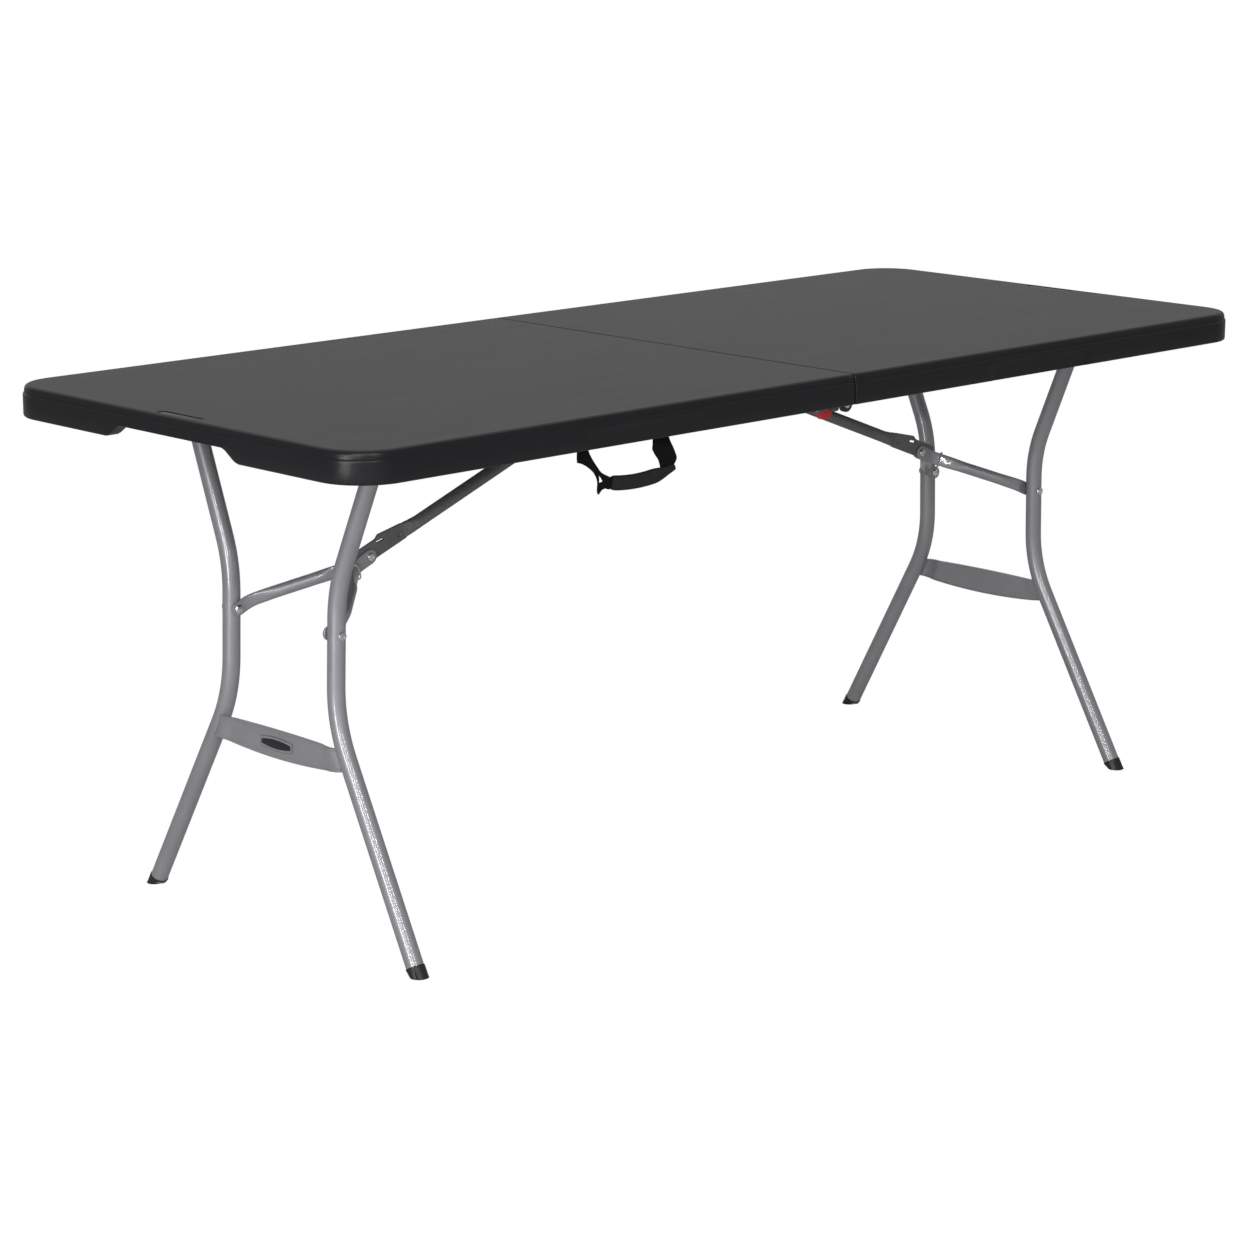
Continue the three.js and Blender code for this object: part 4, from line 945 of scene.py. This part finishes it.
def hinge(end, side):
    for half, sign in (("left", -1), ("right", 1)):
        offset = LEAF_JOGGLE if half == "left" else 0.0
        low_edge = [(LEAF_LENGTH, LEAF_LOW), (JOGGLE_X[0], LEAF_LOW), (LEAF_NECK, LEAF_LOW - 1)]
        start, stop = (-60, -240) if sign > 0 else (240, 420)
        leaf = [Vector((sign * x, z)) for x, z in low_edge]
        leaf += circle(0, APRON_Z, LEAF_LOBE_R, 26, math.radians(start), math.radians(stop))
        leaf += [Vector((sign * x, LEAF_HIGH)) for x in (LEAF_NECK, LEAF_LENGTH)]
        if sign > 0:
            leaf.reverse()  # so that it runs anticlockwise
        bore = circle(0, APRON_Z, PIVOT_BORE_R, 18, clockwise=True)

        def place(q, depth):
            from_lobe = max(q.x * sign, 0.0)
            return Vector((q.x, side * (depth + offset * (1 - smooth(from_lobe, *JOGGLE_X))), q.y))

        name = f"{end}_hinge_{half}"
        flat = Shape().plate([leaf, bore], OUTSIDE_RAIL_Y, OUTSIDE_RAIL_Y + LEAF_THICK, 0.5, place)
        flat.make(name, [M_BLACK], f"{half}_half", f"{name}_leaf", "black_steel")
    pin = Shape().lathe((0, 0, APRON_Z), Y_AXIS * side, HINGE_PIN, 20)
    pin.make(f"{end}_pivot", [M_ZINC], "left_half", f"{end}_hinge_pin", "zinc_steel")


# ---- Centre lock ----
LOCK_PIVOT = (-52.0, 690.0)
LOCK_FRONT_Y = -354.0
LOCK_BACK_Y = -338.0
LOCK_SHEET = 2.0
LOCK_SIDE_GAP = 0.7
LOCK_TOP_Z = 697.7
LOCK_X = (-62.0, -8.0)
LEVER = [
    (-56, 693.5), (-57, 687), (-45, 682), (-36, 672.5), (-24, 671), (-18, 675), (-17, 681), (-22, 687),
    (-48, 693.5),
]
LEVER_CORNERS = [2, 3, 4, 4, 4, 3, 2, 3, 2]
TONGUE = [(-17, 681), (-2, 681.5), (-1.5, 685.5), (-8, 688), (-17, 687)]
TONGUE_CORNERS = [0.4, 2, 1, 2, 0.4]
TONGUE_HALF = 4.0
EAR = [
    (LOCK_X[0], 686), (-44, 683), (LOCK_X[1], LOCK_TOP_Z - 4), (LOCK_X[1], LOCK_TOP_Z),
    (LOCK_X[0], LOCK_TOP_Z),
]
EAR_CORNERS = [3, 5, 2, 0.4, 0.4]
LEVER_PIN_R = 2.5
LEVER_PIN_TAIL = ((LEVER_PIN_R, 0), (4, 0), (4, 0.6), (3.2, 1.2), (AXIS_R, 1.2))
LEVER_PIN_HEAD = ((LEVER_PIN_R, 0), (4, 0), (4, 0.7), (3.2, 1.2), (AXIS_R, 1.2))
LEVER_PIN = spindle(LOCK_FRONT_Y - 0.3, LOCK_BACK_Y + 0.3, LEVER_PIN_TAIL, LEVER_PIN_HEAD)


def lock():
    bore = circle(*LOCK_PIVOT, LEVER_PIN_R + 0.3, 16, clockwise=True)
    inner = LOCK_SHEET + LOCK_SIDE_GAP
    middle = (LOCK_FRONT_Y + LOCK_BACK_Y) / 2
    profile = [rounded(LEVER, LEVER_CORNERS, 4), bore]
    lever = Shape().plate(profile, LOCK_FRONT_Y + inner, LOCK_BACK_Y - inner, 1.0, in_xz)
    lever.make("release_lever", [M_RED], "lock_lever", "lock_lever", "lever_plastic")
    # The tongue and the cradle take the darker copy of the silver coat: painted shade.
    profile = [rounded(TONGUE, TONGUE_CORNERS, 4)]
    tongue = Shape().plate(profile, middle - TONGUE_HALF, middle + TONGUE_HALF, 0.6, in_xz)
    tongue.make("catch_tongue", [M_SILVER_PAINTED_SHADE], "lock_lever", "lock_tongue", "silver_paint")
    ear = rounded(EAR, EAR_CORNERS, 4)
    cradle = Shape()
    for low, high in ((LOCK_FRONT_Y, LOCK_FRONT_Y + LOCK_SHEET), (LOCK_BACK_Y - LOCK_SHEET, LOCK_BACK_Y)):
        cradle.plate([ear, bore], low, high, 0.4, in_xz)
    roof = rounded(rectangle(LOCK_X[0], LOCK_FRONT_Y, LOCK_X[1], LOCK_BACK_Y), 1.0, 3)
    cradle.plate([roof], LOCK_TOP_Z - LOCK_SHEET, LOCK_TOP_Z, 0.4, lambda q, z: Vector((q.x, q.y, z)))
    cradle.make("lock_cradle", [M_SILVER_PAINTED_SHADE], "left_half", "lock_bracket", "silver_paint")
    pin = Shape().lathe((LOCK_PIVOT[0], 0, LOCK_PIVOT[1]), Y_AXIS, LEVER_PIN, 16)
    pin.make("lever_pin", [M_ZINC], "left_half", "lock_pin", "zinc_steel")


# ---- Carry handle ----
HANDLE_Y = -360.0
HANDLE_TOP_Z = 691.7
HANDLE_X = {"left": -512.0, "right": -367.5}  # the middle of each fixed end of the webbing
WEBBING_HALF = 14.5
WEBBING_THICK = 1.6
RIBBON_STEPS = 10
RIBBON_EDGE = 0.55  # thickness of a ribbon at its edges, as a share of the middle's
TAB_ZS = (693.6, 700, 706, 712, 719.7)
ANCHOR_HALF = 13.0
ANCHOR_Z = (701.0, 717.0)
# The left strap is folded along its length: its outline in X and Z, and the gap at the fold
STRAP_LEFT = [
    (-521.5, HANDLE_TOP_Z), (-520.6, 681), (-520, 674.5), (-511, 671.5), (-504, 667.8), (-497, 662.6),
    (-492, 657.5), (-488, 651), (-485.6, 643.5), (-485, 633), (-483.3, 628), (-481.8, 626.8), (-480, 628),
    (-476.5, 632), (-472.5, 633.6), (-469, 633.3), (-464, 631.4), (-456.5, 632.6), (-453.5, 647.2),
    (-463, 648.7), (-473, 653.3), (-478, 656.2), (-481.5, 660), (-486, 666.5), (-490, 672), (-494, 678),
    (-498, 684), (-502.5, HANDLE_TOP_Z),
]
STRAP_GAP = [(-483.2, 653.5), (-479.5, 649), (-476.2, 644.6), (-479.4, 643.6), (-482.6, 642.8), (-483, 648)]
STRAP_WAVE = 1.5
STRAP_WAVE_LENGTH = 9.0
# Rows down the right strap: (left edge x, z, right edge x, z, twist towards the back on the left)
STRAP_RIGHT = [
    (-382, HANDLE_TOP_Z, -353, HANDLE_TOP_Z, 0),
    (-382, 682, -349.5, 684, 0),
    (-381.5, 675, -345.5, 676, 1),
    (-375.5, 666, -341, 667, 1.5),
    (-370, 658.5, -337.6, 657.5, 1),
    (-366.5, 645, -343, 648, 0),
]
GRIP_LEFT = Vector((-458.5, HANDLE_Y, 639.8))
GRIP_LOW = Vector((-400, HANDLE_Y, 630.7))
GRIP_RIGHT = Vector((-341, HANDLE_Y, 646))
GRIP_STEPS = 40
GRIP_HALF_THICK = 7.2
GRIP_HALF_TALL = 10.1
GRIP_END_SIZES = (0.86, 0.96)  # the first and second sections from either end are pulled in
GRIP_TAPER = 0.55
GRIP_TAPER_FROM = 0.65


def ribbon(rows):
    """The webbing through rows of (left edge, right edge); edges are 3-D points."""
    rings = []
    shares = [k / RIBBON_STEPS for k in range(RIBBON_STEPS + 1)]
    for i, (a, b) in enumerate(rows):
        a0, b0 = rows[max(i - 1, 0)]
        a1, b1 = rows[min(i + 1, len(rows) - 1)]
        along = ((a1 + b1) - (a0 + b0)).normalized()
        normal = along.cross((b - a).normalized()).normalized()
        half = [normal * (WEBBING_THICK / 2) * (RIBBON_EDGE if t in (0, 1) else 1) for t in shares]
        upper = [mix(a, b, t) + offset for t, offset in zip(shares, half)]
        lower = [mix(a, b, t) - offset for t, offset in zip(shares, half)]
        rings.append(upper + lower[::-1])
    return Shape().loft(rings)


def curve_rows(stations, steps=8):
    """Catmull-Rom rows through (left x, y, z, right x, y, z) stations."""
    rows = []
    last = len(stations) - 1
    for i in range(last):
        around = (stations[max(i - 1, 0)], stations[i], stations[i + 1], stations[min(i + 2, last)])
        for k in range(steps + (1 if i == last - 1 else 0)):
            t = k / steps
            v = []
            for a, b, c, d in zip(*around):
                square, cube = 2 * a - 5 * b + 4 * c - d, 3 * b - a - 3 * c + d
                v.append(0.5 * (2 * b + (c - a) * t + square * t * t + cube * t ** 3))
            rows.append((Vector(v[:3]), Vector(v[3:])))
    return rows


def handle():
    def waved(q, depth):
        wave = STRAP_WAVE * math.sin((HANDLE_TOP_Z - q.y) / STRAP_WAVE_LENGTH)
        return Vector((q.x, HANDLE_Y + depth + wave, q.y))

    left = Shape().plate([STRAP_LEFT, STRAP_GAP], -WEBBING_THICK / 2, WEBBING_THICK / 2, 0.3, waved)
    left.make("handle_left_webbing", [M_WEBBING], "carry_handle", "handle_left_strap", "webbing")
    stations = [(x0, HANDLE_Y + twist, z0, x1, HANDLE_Y - twist, z1) for x0, z0, x1, z1, twist in STRAP_RIGHT]
    right = ribbon(curve_rows(stations))
    right.make("handle_right_webbing", [M_WEBBING], "carry_handle", "handle_right_strap", "webbing")
    rings = []
    for k in range(GRIP_STEPS + 1):
        t = k / GRIP_STEPS
        p = quadratic(GRIP_LEFT, GRIP_LOW, GRIP_RIGHT, t)
        along = ((GRIP_LOW - GRIP_LEFT) * (1 - t) + (GRIP_RIGHT - GRIP_LOW) * t).normalized()
        end = min(k, GRIP_STEPS - k)
        size = GRIP_END_SIZES[end] if end < len(GRIP_END_SIZES) else 1.0
        size *= 1 - GRIP_TAPER * smooth(t, GRIP_TAPER_FROM, 1)
        up = along.cross(Y_AXIS)
        rings.append(ring_at(p, Y_AXIS, up, GRIP_HALF_THICK * size, GRIP_HALF_TALL * size, 24, 2.6))
    sleeve = Shape().loft(rings).make("handle_sleeve", [M_GRIP], "carry_handle", "handle_grip", "grip_fabric")
    for side, x in HANDLE_X.items():
        edges = (x - WEBBING_HALF, x + WEBBING_HALF)
        tab = ribbon([[Vector((edge_x, HANDLE_Y, z)) for edge_x in edges] for z in TAB_ZS])
        tab.make(f"handle_{side}_end", [M_WEBBING], "left_half", f"handle_{side}_tab", "webbing")
        corners = rectangle(x - ANCHOR_HALF, ANCHOR_Z[0], x + ANCHOR_HALF, ANCHOR_Z[1])
        clamp = Shape().plate([rounded(corners, 2.5, 4)], HANDLE_Y - 2.6, HANDLE_Y - 1.1, 0.3, in_xz)
        clamp.make(f"handle_{side}_clamp", [M_BLACK], "left_half", f"handle_{side}_anchor", "black_steel")


for half_name, is_turned, front_side in (("left", False, -1), ("right", True, 1)):
    tabletop(half_name, is_turned)
    underside(half_name, is_turned)
    leg_frame(half_name, is_turned, front_side)
    for arm_side in (-1, 1):
        brace_arm(half_name, "front" if arm_side == front_side else "rear", arm_side, is_turned)
    knee_bolt(half_name, front_side, is_turned)
    lock_ring(half_name, front_side, is_turned)
    diagonal(half_name, is_turned)
    brace_pin(half_name, is_turned)
badge()
hinge("front", -1)
hinge("rear", 1)
lock()
handle()

# The CAD nodes that still show: the rails and the brace brackets
NODE_BEVEL = 0.4
for node_name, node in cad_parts.items():
    if node.hide_render:
        continue
    node.data.materials.clear()
    node.data.materials.append(M_BLACK if "rail" in node_name else M_SILVER)
    edge = node.modifiers.new("edge", "BEVEL")
    edge.width = NODE_BEVEL * MM
    edge.segments = 2
    edge.limit_method = "ANGLE"

# ---- Camera ----
AZIMUTH, ELEVATION, ROLL = -0.7719659209, 0.2323432964, 0.0028994746
CAMERA_M = (-3.619615, -3.633576, 1.522797)
LENS = 100.52  # this and the sensor's width are in millimetres
SENSOR = 36.0
level = math.cos(ELEVATION)
back = Vector((math.sin(AZIMUTH) * level, -math.cos(AZIMUTH) * level, math.sin(ELEVATION)))
right = Vector((math.cos(AZIMUTH), math.sin(AZIMUTH), 0))
upward = back.cross(right)
rolled_right = right * math.cos(ROLL) + upward * math.sin(ROLL)
rolled_up = upward * math.cos(ROLL) - right * math.sin(ROLL)
turn = Matrix((rolled_right, rolled_up, back)).transposed().to_4x4()
camera_data = bpy.data.cameras.new("camera")
camera_data.lens = LENS
camera_data.sensor_width = SENSOR
camera = bpy.data.objects.new("camera", camera_data)
camera.matrix_world = Matrix.Translation(CAMERA_M) @ turn
bpy.context.scene.collection.objects.link(camera)
bpy.context.scene.camera = camera

# ---- Floor, world and lights ----
FLOOR_HALF_M = 40
SKY_STRENGTH = 0.32
WHITE = (1, 1, 1, 1)


def seen_white(tree, plain):
    """The camera sees an even white; everything else is lit by the plain surface or sky."""
    target = tree.nodes.get("Material Output") or tree.nodes.get("World Output")
    is_material = target.name == "Material Output"
    white = tree.nodes.new("ShaderNodeEmission" if is_material else "ShaderNodeBackground")
    white.inputs["Color"].default_value = WHITE
    white.inputs["Strength"].default_value = 1.0
    rays = tree.nodes.new("ShaderNodeLightPath")
    blend = tree.nodes.new("ShaderNodeMixShader")
    tree.links.new(rays.outputs["Is Camera Ray"], blend.inputs[0])
    tree.links.new(plain.outputs[0], blend.inputs[1])
    tree.links.new(white.outputs[0], blend.inputs[2])
    tree.links.new(blend.outputs[0], target.inputs["Surface"])


floor_mesh = bpy.data.meshes.new("floor")
floor_corners = [(x * FLOOR_HALF_M, y * FLOOR_HALF_M, 0) for x, y in ((-1, -1), (1, -1), (1, 1), (-1, 1))]
floor_mesh.from_pydata(floor_corners, [], [(0, 1, 2, 3)])
floor = bpy.data.objects.new("floor", floor_mesh)
bpy.context.scene.collection.objects.link(floor)
pale = material("floor_pale", (0.6, 0.6, 0.6), 0.9)
seen_white(pale.node_tree, pale.node_tree.nodes["Principled BSDF"])
floor_mesh.materials.append(pale)

world = bpy.data.worlds.new("studio")
world.use_nodes = True
sky = world.node_tree.nodes["Background"]
sky.inputs["Color"].default_value = WHITE
sky.inputs["Strength"].default_value = SKY_STRENGTH
seen_white(world.node_tree, sky)
bpy.context.scene.world = world
bpy.context.scene.view_settings.view_transform = "Standard"


def area_light(name, place, target, size_x, size_y, power):
    data = bpy.data.lights.new(name, "AREA")
    data.shape = "RECTANGLE"
    data.size, data.size_y = size_x, size_y
    data.energy = power
    lamp = bpy.data.objects.new(name, data)
    lamp.location = place
    lamp.rotation_mode = "QUATERNION"
    lamp.rotation_quaternion = (Vector(place) - Vector(target)).to_track_quat("Z", "Y")
    lamp.visible_camera = False
    bpy.context.scene.collection.objects.link(lamp)
    return lamp


area_light("back_softbox", (3.4, 4.6, 2.2), (0.2, 0.0, 0.6), 8.0, 2.0, 25)
area_light("left_strip", (-3.8, -1.06, 0.85), (-0.88, -0.3, 0.5), 0.4, 1.6, 42)
area_light("stripe_near", (-4.07, -2.9, 2.5), (-0.74, -0.2, 0.2), 0.12, 2.4, 56)
area_light("stripe_far", (-2.1, -4.2, 3.0), (-0.74, -0.2, 0.2), 0.12, 2.4, 56)
fill = area_light("front_fill", (-3.6, -5.0, 1.8), (0.0, 0.0, 0.4), 2.6, 2.2, 90)
fill.visible_glossy = False  # it lightens the front without showing in the gloss
